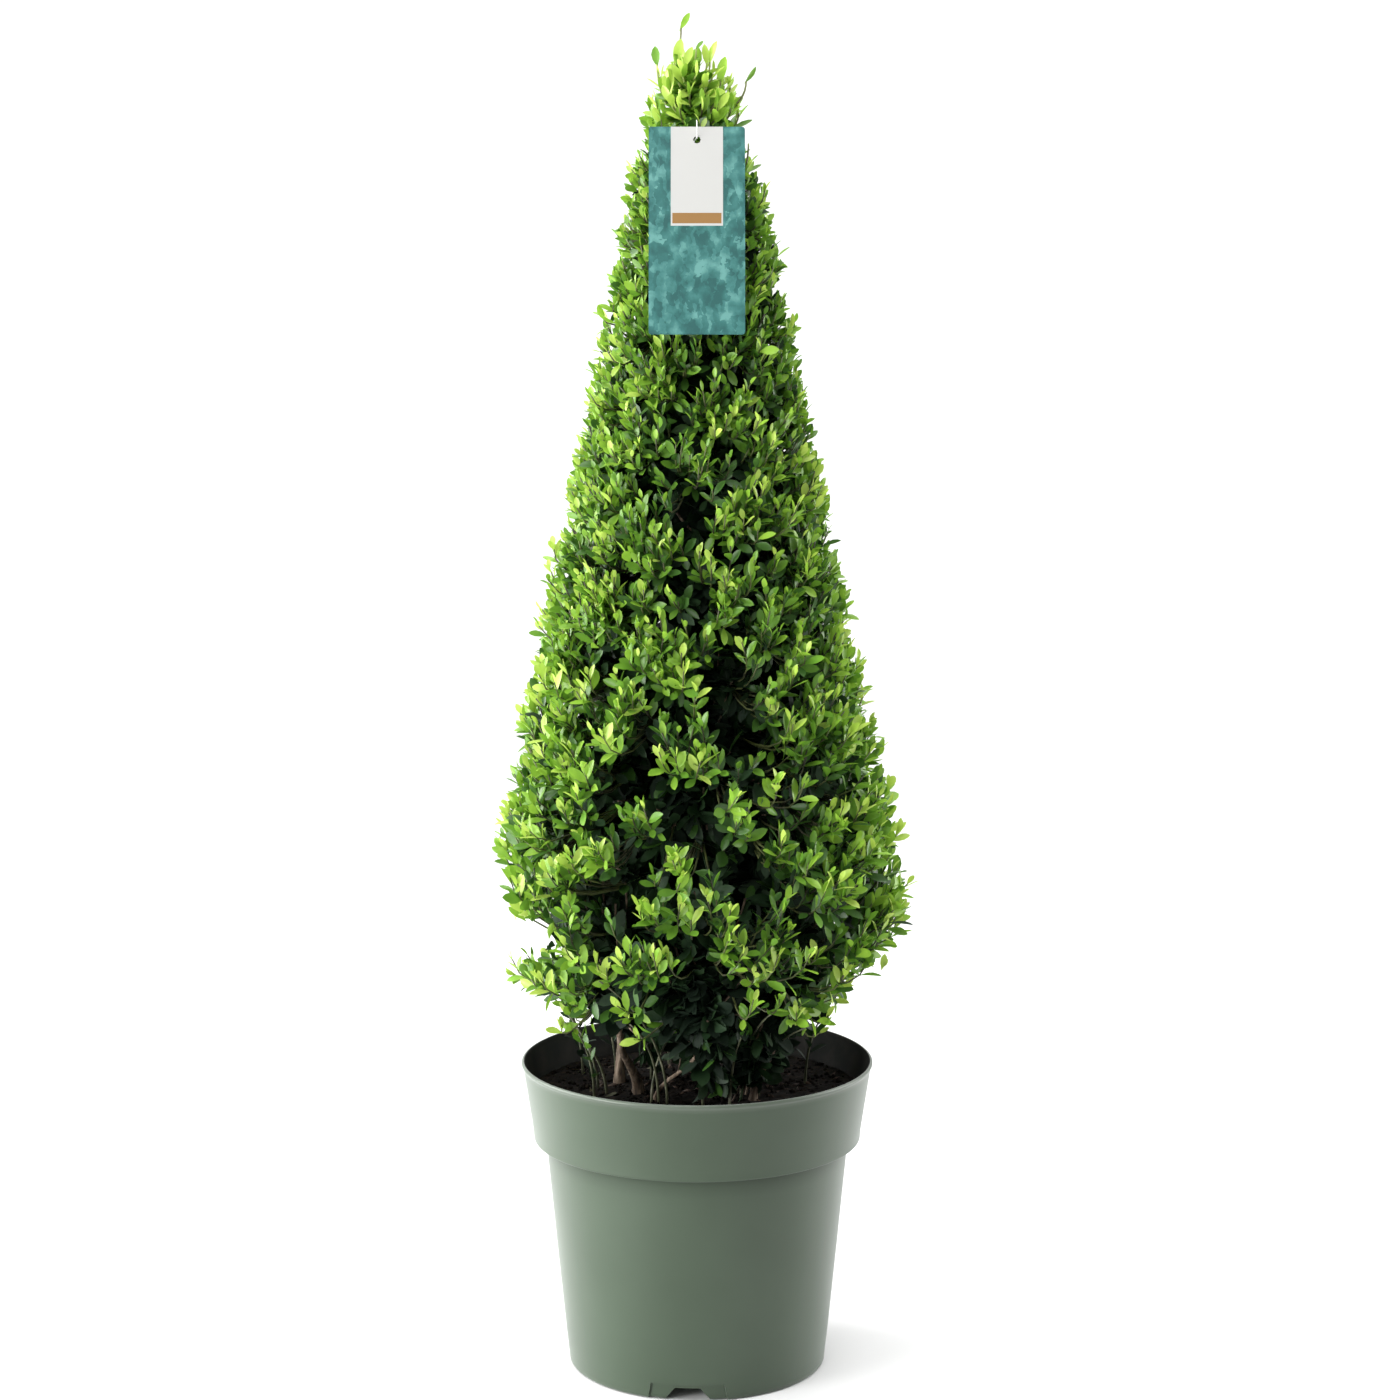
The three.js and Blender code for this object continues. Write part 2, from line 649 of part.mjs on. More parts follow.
function addPiece(name, geometry, material, group = plant) {
  const mesh = new THREE.Mesh(geometry, material);
  mesh.name = name;
  group.add(mesh);
  return mesh;
}

addPiece("pot", geometryOf(potSolid()), FINISHES.pot);
addPiece("soil", geometryOf(soilSolid()), FINISHES.soil);
addPiece("leader", limbGeometry(leader, leaderTaper, LEADER.sides, LEADER.steps), FINISHES.bark);

sideStems.forEach((curve, sector) => {
  const radiusAt = flaredTaper(STEM.radius, STEM.tipRadius, curve.getLength());
  addPiece(`stem_${sector + 1}`, limbGeometry(curve, radiusAt, STEM.sides, STEM.steps), FINISHES.bark);
});

TIERS.forEach((tier, t) => {
  for (let sector = 0; sector < tier.sectors; sector++) {
    const solid = massSolid(tier, sector, SEED + 100 * t + sector);
    addPiece(`${tier.name}_${sector + 1}`, geometryOf(solid), FINISHES.foliage);
  }
});
addPiece(TIP.name, geometryOf(tipSolid(SEED + 900)), FINISHES.foliage);

const label = new THREE.Group();
label.position.copy(tagTop);
label.rotation.x = Math.PI / 2 - TAG_LEAN;
plant.add(label);
addPiece("tag_card", tagGeometry(), FINISHES.card, label);
addPiece("tag_loop", geometryOf(loopSolid()), FINISHES.loop);

export default plant;
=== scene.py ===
import bpy
import numpy as np
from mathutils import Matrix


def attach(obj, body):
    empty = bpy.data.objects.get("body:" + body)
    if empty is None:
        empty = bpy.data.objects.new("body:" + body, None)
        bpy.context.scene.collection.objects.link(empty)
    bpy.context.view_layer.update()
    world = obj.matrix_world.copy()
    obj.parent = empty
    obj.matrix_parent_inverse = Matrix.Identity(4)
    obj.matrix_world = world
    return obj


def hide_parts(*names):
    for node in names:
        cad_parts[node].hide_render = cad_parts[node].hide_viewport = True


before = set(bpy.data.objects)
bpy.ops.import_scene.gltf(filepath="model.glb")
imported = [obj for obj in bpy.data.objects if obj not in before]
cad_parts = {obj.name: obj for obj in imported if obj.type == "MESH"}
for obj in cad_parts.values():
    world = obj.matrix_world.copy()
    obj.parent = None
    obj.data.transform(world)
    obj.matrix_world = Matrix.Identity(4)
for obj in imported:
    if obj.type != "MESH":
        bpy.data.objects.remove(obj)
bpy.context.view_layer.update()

# The nursery pot is a thin moulded plastic shell, sage green outside and black inside.
# A collar stiffens it under the beaded lip, and three notches in the flat foot let water out.

POT_OUTSIDE = [
    (0.0860, 0.0), (0.0876, 0.0004), (0.0884, 0.0016), (0.08860, 0.0040), (0.08885, 0.0062),
    (0.08913, 0.0086), (0.08914, 0.0087), (0.08942, 0.0112), (0.08943, 0.0113), (0.08948, 0.0117),
    (0.0910, 0.0250), (0.0965, 0.0800), (0.1013, 0.1300), (0.1027, 0.1440), (0.1035, 0.1530),
    (0.1038, 0.1556), (0.1041, 0.1572), (0.1046, 0.1581), (0.1054, 0.1586), (0.1068, 0.1589),
    (0.1090, 0.1590), (0.1116, 0.1591), (0.1120, 0.1592), (0.1122, 0.1595), (0.1123, 0.1600),
    (0.1124, 0.1613), (0.1128, 0.1660), (0.1158, 0.1860), (0.1189, 0.2062), (0.1194, 0.2092),
    (0.1197, 0.2100), (0.1202, 0.2106), (0.1205, 0.2112), (0.1206, 0.2118), (0.1203, 0.2125),
    (0.1197, 0.2130), (0.1189, 0.2130), (0.1182, 0.2124),
]
POT_INSIDE = [
    (0.1180, 0.2112), (0.1174, 0.2080), (0.1140, 0.1880), (0.1106, 0.1680), (0.1099, 0.1645),
    (0.1088, 0.1627), (0.1050, 0.1617), (0.1028, 0.1607), (0.1020, 0.1590), (0.1016, 0.1550),
    (0.1008, 0.1460), (0.0950, 0.0850), (0.0875, 0.0155), (0.0865, 0.0135), (0.0840, 0.0126),
    (0.0400, 0.0126),
]
FOOT_RADIUS = 0.0885
NOTCHES = 3
NOTCH_TURN = np.radians(-94.2)
NOTCH_RECESS = {"half_width": 0.0272, "slant": 0.20, "height": 0.01125, "depth": 0.0016}
NOTCH_CHANNEL = {"half_width": 0.0160, "slant": 0.85, "height": 0.00865, "depth": 0.0230}
NOTCH_CORNER = 0.00002
NOTCH_COLUMNS = [38, 1, 6, 1, 10, 1, 6, 1, 38]
# The next two lines paint the pot's colour by height: painted shade in the angle under the collar, and a
# painted highlight on the lip. POT_GLOSS lowers the specular level in the same angle.
POT_PAINTED_SHADE = [(0.145, 1.0), (0.1545, 0.80), (0.1590, 0.56), (0.1598, 1.0), (0.2094, 1.0)]
LIP_PAINTED_HIGHLIGHT = (0.2112, (2.2, 1.7, 2.3))
POT_GLOSS = [(0.145, 0.42), (0.1545, 0.34), (0.1590, 0.22), (0.1598, 0.42)]
SHARP_EDGE = np.radians(60)


def grid_faces(rows, columns, closed):
    """Quads between neighbouring rows and columns of points numbered row by row.
    With closed, the last column joins the first."""
    row, column = np.meshgrid(
        np.arange(rows - 1), np.arange(columns if closed else columns - 1), indexing="ij"
    )
    after = (column + 1) % columns
    low, high = row * columns, (row + 1) * columns
    return np.stack([low + column, low + after, high + after, high + column], -1).reshape(-1, 4)


def polar(radius, angle, height):
    """Points at a distance from the upright axis, at an angle round it and at a height."""
    return np.stack(np.broadcast_arrays(radius * np.cos(angle), radius * np.sin(angle), height), -1)


def mesh_object(name, points, faces, finishes, finish_of_face=None):
    """A smooth mesh in the scene, from an array of points and a list of arrays of corner numbers."""
    corners = np.concatenate([part.ravel() for part in faces])
    sizes = np.concatenate([np.full(len(part), part.shape[1]) for part in faces])
    starts = np.cumsum(sizes) - sizes
    mesh = bpy.data.meshes.new(name)
    mesh.vertices.add(len(points))
    mesh.vertices.foreach_set("co", np.asarray(points, np.float32).ravel())
    mesh.loops.add(len(corners))
    mesh.loops.foreach_set("vertex_index", corners.astype(np.int32))
    mesh.polygons.add(len(sizes))
    mesh.polygons.foreach_set("loop_start", starts.astype(np.int32))
    for finish in finishes:
        mesh.materials.append(finish)
    if finish_of_face is not None:
        mesh.polygons.foreach_set("material_index", np.asarray(finish_of_face, np.int32))
    mesh.polygons.foreach_set("use_smooth", np.ones(len(sizes), bool))
    mesh.update(calc_edges=True)
    mesh.validate()
    piece = bpy.data.objects.new(name, mesh)
    bpy.context.scene.collection.objects.link(piece)
    return piece


def mesh_piece(name, points, faces, finishes, finish_of_face=None):
    """A smooth mesh that is part of the plant."""
    piece = mesh_object(name, points, faces, finishes, finish_of_face)
    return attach(piece, "root")


def fill(tree, node, inputs):
    """Fills a node's inputs: a socket is joined to its input, any other value becomes its setting."""
    for name, value in inputs.items():
        if isinstance(value, bpy.types.NodeSocket):
            tree.links.new(value, node.inputs[name])
        else:
            node.inputs[name].default_value = value


def add_node(tree, kind, inputs, **settings):
    """A new shader node with its settings and its inputs."""
    node = tree.nodes.new("ShaderNode" + kind)
    for name, value in settings.items():
        setattr(node, name, value)
    fill(tree, node, inputs)
    return node


def new_finish(name, roughness, specular=0.5):
    """A material with one Principled shader. Returns it with its node tree and the shader."""
    finish = bpy.data.materials.new(name)
    finish.use_nodes = True
    tree = finish.node_tree
    shader = tree.nodes["Principled BSDF"]
    fill(tree, shader, {"Roughness": roughness, "Specular IOR Level": specular})
    return finish, tree, shader


def noise_on(tree, scale, detail=3.0, stretch=(1.0, 1.0, 1.0)):
    """A noise pattern on Object coordinates, scale waves to the metre, stretched along the axes."""
    place = add_node(tree, "TexCoord", {})
    mapping = add_node(tree, "Mapping", {"Vector": place.outputs["Object"], "Scale": stretch})
    pattern = {"Vector": mapping.outputs["Vector"], "Scale": scale, "Detail": detail}
    return add_node(tree, "TexNoise", pattern)


def ramp_on(tree, source, stops):
    """The colour of a ramp over a pattern, from a list of positions with linear colours."""
    ramp = add_node(tree, "ValToRGB", {"Fac": source})
    while len(ramp.color_ramp.elements) < len(stops):
        ramp.color_ramp.elements.new(0.5)
    for element, (position, colour) in zip(ramp.color_ramp.elements, stops):
        element.position = position
        element.color = (*colour, 1.0)
    return ramp.outputs["Color"]


def patchy_finish(name, roughness, scale, detail, stops, specular=0.5, relief=None, **stretch):
    """A material whose base colour follows a noise pattern through a colour ramp. Where relief gives a
    strength and a depth in metres, the same pattern also roughens the surface."""
    finish, tree, shader = new_finish(name, roughness, specular)
    noise = noise_on(tree, scale, detail, **stretch).outputs["Fac"]
    fill(tree, shader, {"Base Color": ramp_on(tree, noise, stops)})
    if relief is not None:
        bump = add_node(tree, "Bump", {"Strength": relief[0], "Distance": relief[1], "Height": noise})
        fill(tree, shader, {"Normal": bump.outputs["Normal"]})
    return finish


def pot_points(profile):
    """Turns a profile of radii and heights round the upright axis. Each third of a turn has a notch in its
    middle. Columns of points keep to the notch's slanting sides, so each is a share of the way from the
    third's edge to the recess, to the channel and on. Inside them the wall moves in by their depth."""
    radius, height = (np.array(column)[:, None] for column in zip(*profile))
    recess, channel = (
        cut["half_width"] - cut["slant"] * np.minimum(height, cut["height"])
        for cut in (NOTCH_RECESS, NOTCH_CHANNEL)
    )
    half_share = FOOT_RADIUS * np.pi / NOTCHES
    column = np.concatenate([k + np.arange(count) / count for k, count in enumerate(NOTCH_COLUMNS)])
    corner = NOTCH_CORNER * np.array([0, -1, 1, -1, 1, -1, 1, -1, 1, 0])
    fixed = corner + half_share * np.array([-1, 0, 0, 0, 0, 0, 0, 0, 0, 1])
    arc = (
        np.interp(column, np.arange(10), fixed)
        + recess * np.interp(column, np.arange(10), [0, -1, -1, 0, 0, 0, 0, 1, 1, 0])
        + channel * np.interp(column, np.arange(10), [0, 0, 0, -1, -1, 1, 1, 0, 0, 0])
    )
    inset = np.zeros_like(arc)
    for cut, first, last in ((NOTCH_RECESS, 2, 7), (NOTCH_CHANNEL, 4, 5)):
        inside = (column >= first) & (column <= last) & (height < cut["height"])
        inset = np.where(inside, cut["depth"], inset)
    turn = arc / FOOT_RADIUS + NOTCH_TURN
    angle = np.concatenate([turn + k * 2 * np.pi / NOTCHES for k in range(NOTCHES)], 1)
    return polar(np.tile(radius - inset, NOTCHES), angle, height)


def pot_plastic():
    """Satin sage plastic with a faint cloudy shade, times a grey by height: painted shade makes it darker
    in the angle under the collar, where it is also duller, and a painted highlight makes the lip paler."""
    finish, tree, shader = new_finish("pot_plastic", roughness=0.38)
    cloud = noise_on(tree, scale=14.0)
    sage = ramp_on(tree, cloud.outputs["Fac"], [
        (0.3, (0.029, 0.048, 0.026)),
        (0.7, (0.035, 0.056, 0.032)),
    ])
    place = add_node(tree, "TexCoord", {})
    axes = add_node(tree, "SeparateXYZ", {"Vector": place.outputs["Object"]})
    # A grey ramp by height multiplies the sage: painted shade under the collar and a painted highlight on
    # the lip.
    painted_shade_and_highlight, gloss = (
        ramp_on(tree, axes.outputs["Z"], [(z, (grey, grey, grey)) for z, grey in greys] + extra)
        for greys, extra in ((POT_PAINTED_SHADE, [LIP_PAINTED_HIGHLIGHT]), (POT_GLOSS, []))
    )
    layers = {"Factor": 1.0, "A": sage, "B": painted_shade_and_highlight}
    shaded = add_node(tree, "Mix", layers, data_type="RGBA", blend_type="MULTIPLY")
    fill(tree, shader, {
        "Base Color": shaded.outputs["Result"],
        "Specular IOR Level": gloss,
        "Sheen Weight": 0.22,
        "Sheen Roughness": 0.45,
        "Sheen Tint": (0.95, 1.0, 0.95, 1.0),
    })
    return finish


pot_rows = POT_OUTSIDE + POT_INSIDE
shell = pot_points(pot_rows)
around = shell.shape[1]
shell = shell.reshape(-1, 3)
under, floor_inside = len(shell), len(shell) + 1
shell = np.concatenate([shell, [[0, 0, 0], [0, 0, POT_INSIDE[-1][1]]]])
ring = np.arange(around)
ring_after = (ring + 1) % around
last_ring = (len(pot_rows) - 1) * around
foot_fan = np.stack([np.full(around, under), ring_after, ring], -1)
floor_fan = np.stack([last_ring + ring, last_ring + ring_after, np.full(around, floor_inside)], -1)
walls = grid_faces(len(pot_rows), around, True)
lining_from = (len(POT_OUTSIDE) - 2) * around
lined = np.concatenate([walls[:, 0] >= lining_from, np.zeros(around, bool), np.ones(around, bool)])
lining = patchy_finish("pot_lining", roughness=0.8, scale=60.0, detail=5.0, specular=0.2, stops=[
    (0.4, (0.008, 0.009, 0.008)),
    (0.75, (0.024, 0.022, 0.018)),
])
pot = mesh_piece("pot_shell", shell, [walls, foot_fan, floor_fan], [pot_plastic(), lining], lined)
pot.data.set_sharp_from_angle(angle=SHARP_EDGE)
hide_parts("pot")

# The soil is dark peat compost, level but crumbly, a little under the pot's lip.
# Crumbs and bark chips lie loose on it.

SOIL_LEVEL = 0.190
SOIL_EDGE = 0.1152
SOIL_MIDDLE = 0.002
SOIL_ROWS = 60
SOIL_COLUMNS = 160
SOIL_BOTTOM = [(0.1092, 0.1652), (0.1010, 0.1610), (0.1000, 0.1470), (0.0868, 0.0160)]
CRUMBS = 1500
CHIPS = 90
chance = np.random.default_rng(41)


def rolling(x, y, waves, height):
    """Uneven ground: the mean of sine waves that run in random directions, times twice the height."""
    turn = chance.uniform(0, 2 * np.pi, waves)
    length = chance.uniform(0.006, 0.05, waves)
    phase = chance.uniform(0, 2 * np.pi, waves)
    run = x[..., None] * np.cos(turn) + y[..., None] * np.sin(turn)
    return height * np.sin(2 * np.pi * run / length + phase).mean(-1) * 2


compost = patchy_finish("soil", roughness=0.95, scale=260.0, detail=8.0, stops=[
    (0.35, (0.0025, 0.0020, 0.0016)),
    (0.55, (0.0070, 0.0052, 0.0038)),
    (0.72, (0.022, 0.014, 0.009)),
], specular=0.1, relief=(0.9, 0.0015))
soil_angles = np.arange(SOIL_COLUMNS) * 2 * np.pi / SOIL_COLUMNS
soil_radii = np.linspace(SOIL_MIDDLE, SOIL_EDGE, SOIL_ROWS)[::-1, None]
soil_top = polar(soil_radii, soil_angles, SOIL_LEVEL)
soil_top[..., 2] += rolling(soil_top[..., 0], soil_top[..., 1], waves=40, height=0.0022)
side_radii, side_heights = (np.array(column)[:, None] for column in zip(*SOIL_BOTTOM[::-1]))
soil_rows = np.concatenate([polar(side_radii, soil_angles, side_heights), soil_top])
soil_ring = np.arange(SOIL_COLUMNS)
soil_last = (len(soil_rows) - 1) * SOIL_COLUMNS
soil_caps = np.stack([soil_ring[::-1], soil_last + soil_ring])
soil_walls = grid_faces(len(soil_rows), SOIL_COLUMNS, True)
soil = mesh_piece("soil_bed", soil_rows.reshape(-1, 3), [soil_walls, soil_caps], [compost])
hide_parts("soil")

LUMP = np.array([[1, 0, 0], [-1, 0, 0], [0, 1, 0], [0, -1, 0], [0, 0, 1], [0, 0, -1]], float)
LUMP_FACES = np.array([
    [0, 2, 4], [2, 1, 4], [1, 3, 4], [3, 0, 4], [2, 0, 5], [1, 2, 5], [3, 1, 5], [0, 3, 5],
])


def scattered_lumps(count, longest, flatness, reach):
    """Loose bits on the soil: eight-faced lumps, each stretched and turned at random, half sunk in."""
    radius = reach * np.sqrt(chance.uniform(0, 1, count))
    turn = chance.uniform(0, 2 * np.pi, count)
    centre = polar(radius, turn, SOIL_LEVEL)
    size = longest * chance.uniform(0.25, 1.0, (count, 1, 1)) * np.array([1.0, flatness, flatness])
    body = LUMP[None] * size * chance.uniform(0.6, 1.2, (count, 6, 3))
    spin = chance.uniform(0, 2 * np.pi, (count, 1))
    nod = chance.uniform(-0.5, 0.5, (count, 1))
    x, y, z = body[..., 0], body[..., 1], body[..., 2]
    x, z = x * np.cos(nod) - z * np.sin(nod), x * np.sin(nod) + z * np.cos(nod)
    x, y = x * np.cos(spin) - y * np.sin(spin), x * np.sin(spin) + y * np.cos(spin)
    points = np.stack([x, y, z], -1) + centre[:, None, :]
    faces = LUMP_FACES[None] + 6 * np.arange(count)[:, None, None]
    return points.reshape(-1, 3), faces.reshape(-1, 3)


wood = patchy_finish("bark_chips", roughness=0.85, scale=180.0, detail=4.0, stops=[
    (0.35, (0.012, 0.007, 0.004)),
    (0.6, (0.045, 0.024, 0.013)),
    (0.8, (0.12, 0.075, 0.04)),
])
crumb_points, crumb_faces = scattered_lumps(CRUMBS, longest=0.0032, flatness=0.8, reach=0.112)
crumbs = mesh_piece("soil_crumbs", crumb_points, [crumb_faces], [compost])
chip_points, chip_faces = scattered_lumps(CHIPS, longest=0.0075, flatness=0.28, reach=0.108)
chips = mesh_piece("soil_chips", chip_points, [chip_faces], [wood])

# The leader and the side stems are slender woody limbs with grey-brown bark, finely ridged and
# scarred. Each flares a little where it leaves the soil and tapers to where its foliage begins.

LEADER = {"foot": (0.009, 0.007), "top": (-0.002, 0.0, 0.835), "radius": 0.0046, "tip": 0.0017}
LEADER_GRID = {"steps": 160, "sides": 20}
STEM = {"radius": (0.0031, 0.0031, 0.0034, 0.0036, 0.0013, 0.0024), "tip": 0.0018, "rise": 0.022}
STEM_GRID = {"steps": 36, "sides": 16}
STEM_LENGTH = 0.06
SUNK = 0.004
STEM_FEET = [
    (0.052, 0.020), (0.008, 0.046), (-0.054, 0.022), (-0.040, -0.002), (-0.029, -0.024), (0.038, -0.022),
]
STEMS = len(STEM_FEET)
STEM_END = {"height": 0.264, "share": 0.52}
CROWN_FOOT = (0.205, 0.085)
CROWN_WIDEST = (0.340, 0.142)
CROWN_SHOULDER = (0.850, 0.035)
CROWN_TOP = 0.917
TIER_LIFT = 0.5
UP = np.array([0.0, 0.0, 1.0])


def crown_radius(z):
    """Radius of the clipped outline: a skirt that turns in below, a straight cone, a domed tip."""
    drop = np.clip((CROWN_WIDEST[0] - z) / (CROWN_WIDEST[0] - CROWN_FOOT[0]), 0, 1)
    skirt = CROWN_WIDEST[1] - (CROWN_WIDEST[1] - CROWN_FOOT[1]) * drop ** 1.4
    rise = (z - CROWN_WIDEST[0]) / (CROWN_SHOULDER[0] - CROWN_WIDEST[0])
    cone = CROWN_WIDEST[1] + (CROWN_SHOULDER[1] - CROWN_WIDEST[1]) * rise
    over = np.clip((z - CROWN_SHOULDER[0]) / (CROWN_TOP - CROWN_SHOULDER[0]), 0, 1)
    dome = CROWN_SHOULDER[1] * np.sqrt(1 - over ** 2)
    return np.where(z < CROWN_WIDEST[0], skirt, np.where(z < CROWN_SHOULDER[0], cone, dome))


def crown_point(angle, height, share):
    """The point at a share of the crown's radius, on the cone that climbs outwards to the height."""
    radius = crown_radius(height) * share
    return polar(radius, angle, height - TIER_LIFT * (crown_radius(height) - radius))


def unit(vectors):
    """Vectors scaled to length one."""
    return vectors / np.maximum(np.linalg.norm(vectors, axis=-1, keepdims=True), 1e-12)


def curves(*guides, steps):
    """Curves from their first to their last guide point, pulled towards those between, at even steps.
    A guide is one point for each curve. Its weight is the number of ways to choose it, times a power
    of the share covered and one of the share left."""
    t = np.linspace(0, 1, steps)[None, :, None]
    degree = len(guides) - 1
    choose = [1, 3, 3, 1] if degree == 3 else [1, 2, 1]
    return sum(
        choose[k] * t ** k * (1 - t) ** (degree - k) * np.asarray(guide)[:, None, :]
        for k, guide in enumerate(guides)
    )


def tubes(paths, radii, sides, relief=None):
    """Round limbs along many paths: a ring of points square to the path at each step, closed by a
    flat end at both ends. Rings keep to the plane the path bends in, so they don't twist."""
    count, steps = paths.shape[:2]
    along = unit(np.gradient(paths, axis=1))
    bend = np.cross(paths[:, steps // 2] - paths[:, 0], paths[:, -1] - paths[:, 0])
    spare = np.cross(paths[:, -1] - paths[:, 0], np.array([0.36, 0.48, 0.8]))
    straight = np.linalg.norm(bend, axis=1, keepdims=True) < 1e-9
    bend = unit(np.where(straight, spare, bend))[:, None, :]
    side = unit(bend - (bend * along).sum(-1, keepdims=True) * along)
    other = np.cross(along, side)
    turn = np.arange(sides) * 2 * np.pi / sides
    reach = np.broadcast_to(radii[..., None], (count, steps, sides))
    if relief is not None:
        reach = reach * relief
    points = (
        paths[:, :, None, :]
        + (reach * np.cos(turn))[..., None] * side[:, :, None, :]
        + (reach * np.sin(turn))[..., None] * other[:, :, None, :]
    )
    first = np.arange(count)[:, None, None] * steps * sides
    quads = (grid_faces(steps, sides, True)[None] + first).reshape(-1, 4)
    ends = np.stack([np.arange(sides)[::-1], (steps - 1) * sides + np.arange(sides)])
    return points.reshape(-1, 3), [quads, (ends[None] + first).reshape(-1, sides)]


def root_flare(radius, tip, steps, length):
    """Radii that taper evenly, swollen by half at the foot and back to plain within about 9 mm."""
    share = np.linspace(0, 1, steps)
    return (radius + (tip - radius) * share) * (1 + 0.55 * np.exp(-share * length / 0.009))


def bark_relief(steps, sides, waves):
    """Ridges that run along the limb and break up, with raised rings at old leaf scars."""
    turn = np.arange(sides)[None, :] * 2 * np.pi / sides
    rise = np.linspace(0, 1, steps)[:, None]
    relief = np.ones((steps, sides))
    for wave in range(3, 9):
        drift = 1.2 * np.sin(waves * rise * (1 + 0.13 * wave) + wave)
        relief = relief + 0.018 * np.sin(wave * turn + drift + 2.1 * wave)
    scars = np.sin(waves * 5.0 * rise + 0.8 * np.sin(turn)) ** 24
    return relief + 0.09 * scars


def bark_limb(name, path, radius, tip, length, steps, sides, waves):
    """A piece along one path that flares at the foot, tapers to its tip and has the bark's relief."""
    radii = root_flare(radius, tip, steps, length)[None]
    points, faces = tubes(path, radii, sides, bark_relief(steps, sides, waves)[None])
    return mesh_piece(name, points, faces, [bark])


def sector_angle(turn, sectors, sector):
    """Middle angle of a sector of the crown."""
    return np.radians(turn) + 2 * np.pi * (np.asarray(sector) + 0.5) / sectors


bark = patchy_finish("bark", roughness=0.8, scale=320.0, detail=6.0, stops=[
    (0.33, (0.022, 0.014, 0.009)),
    (0.5, (0.105, 0.072, 0.046)),
    (0.68, (0.26, 0.20, 0.145)),
], stretch=(1.0, 1.0, 0.16), relief=(0.7, 0.0008))
leader_rise = LEADER["top"][2] - SOIL_LEVEL
leader_path = curves(
    [[*LEADER["foot"], SOIL_LEVEL - SUNK]],
    [[*LEADER["foot"], SOIL_LEVEL + 0.35 * leader_rise]],
    [[*LEADER["top"][:2], SOIL_LEVEL + 0.65 * leader_rise]],
    [LEADER["top"]],
    steps=LEADER_GRID["steps"],
)
leader_size = (LEADER["radius"], LEADER["tip"], leader_rise)
leader = bark_limb("leader_bark", leader_path, *leader_size, **LEADER_GRID, waves=60.0)
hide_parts("leader")

stem_angles = sector_angle(0, STEMS, np.arange(STEMS))
stem_ends = crown_point(stem_angles, np.full(STEMS, STEM_END["height"]), STEM_END["share"])
stem_feet = np.column_stack([STEM_FEET, np.full(STEMS, SOIL_LEVEL - SUNK)])
stem_paths = curves(
    stem_feet,
    stem_feet + UP * STEM["rise"],
    stem_ends - UP * STEM["rise"] * 0.8,
    stem_ends,
    steps=STEM_GRID["steps"],
)
for number, radius in enumerate(STEM["radius"]):
    path, stem_size = stem_paths[number:number + 1], (radius, min(radius, STEM["tip"]), STEM_LENGTH)
    stem = bark_limb(f"stem_bark_{number + 1}", path, *stem_size, **STEM_GRID, waves=9.0 + number)
    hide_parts(f"stem_{number + 1}")

# Boughs and twigs carry the clipped crown, tier by tier and sector by sector. A bough springs from
# the leader or carries a side stem on, and brown twigs branch from it towards the crown's surface.
# Short spurs on the leader itself fill the middle.

TIERS = [
    {"name": "skirt", "foot": 0.205, "top": 0.395, "sectors": 6, "turn": 0, "twigs": 26, "depth": 0.055},
    {"name": "lower", "foot": 0.395, "top": 0.545, "sectors": 5, "turn": 25, "twigs": 24, "depth": 0.050},
    {"name": "middle", "foot": 0.545, "top": 0.690, "sectors": 4, "turn": 10, "twigs": 19, "depth": 0.042},
    {"name": "upper", "foot": 0.690, "top": 0.836, "sectors": 3, "turn": 40, "twigs": 14, "depth": 0.034},
]
EVEN_SPREAD = np.array([0.7548776662, 0.5698402910])
GOLDEN_ANGLE = np.pi * (3 - np.sqrt(5))
HEM_FRONT = 0.266
HEM_BACK = 0.230
SPURS = {"count": 110, "from": 0.245, "to": 0.820, "share": 0.62, "climb": 0.24}
grow = np.random.default_rng(2024)


def leader_at(height):
    """Points of the leader's centre line at heights."""
    line = leader_path[0]
    return np.stack([np.interp(height, line[:, 2], line[:, k]) for k in range(3)], -1)


def limb_piece(name, paths, finish, thick, thin, sides):
    """A piece of round limbs along paths, whose radius falls evenly from thick at the foot to thin."""
    steps = paths.shape[1]
    radii = np.broadcast_to(np.linspace(thick, thin, steps), (len(paths), steps))
    points, faces = tubes(paths, radii, sides)
    return mesh_piece(name, points, faces, [finish])


def along_path(paths, shares):
    """Points at a share of each path's steps, one share for each path."""
    at = shares * (paths.shape[1] - 1)
    low = np.clip(np.floor(at).astype(int), 0, paths.shape[1] - 2)
    part = (at - low)[:, None]
    each = np.arange(len(paths))
    return paths[each, low] * (1 - part) + paths[each, low + 1] * part


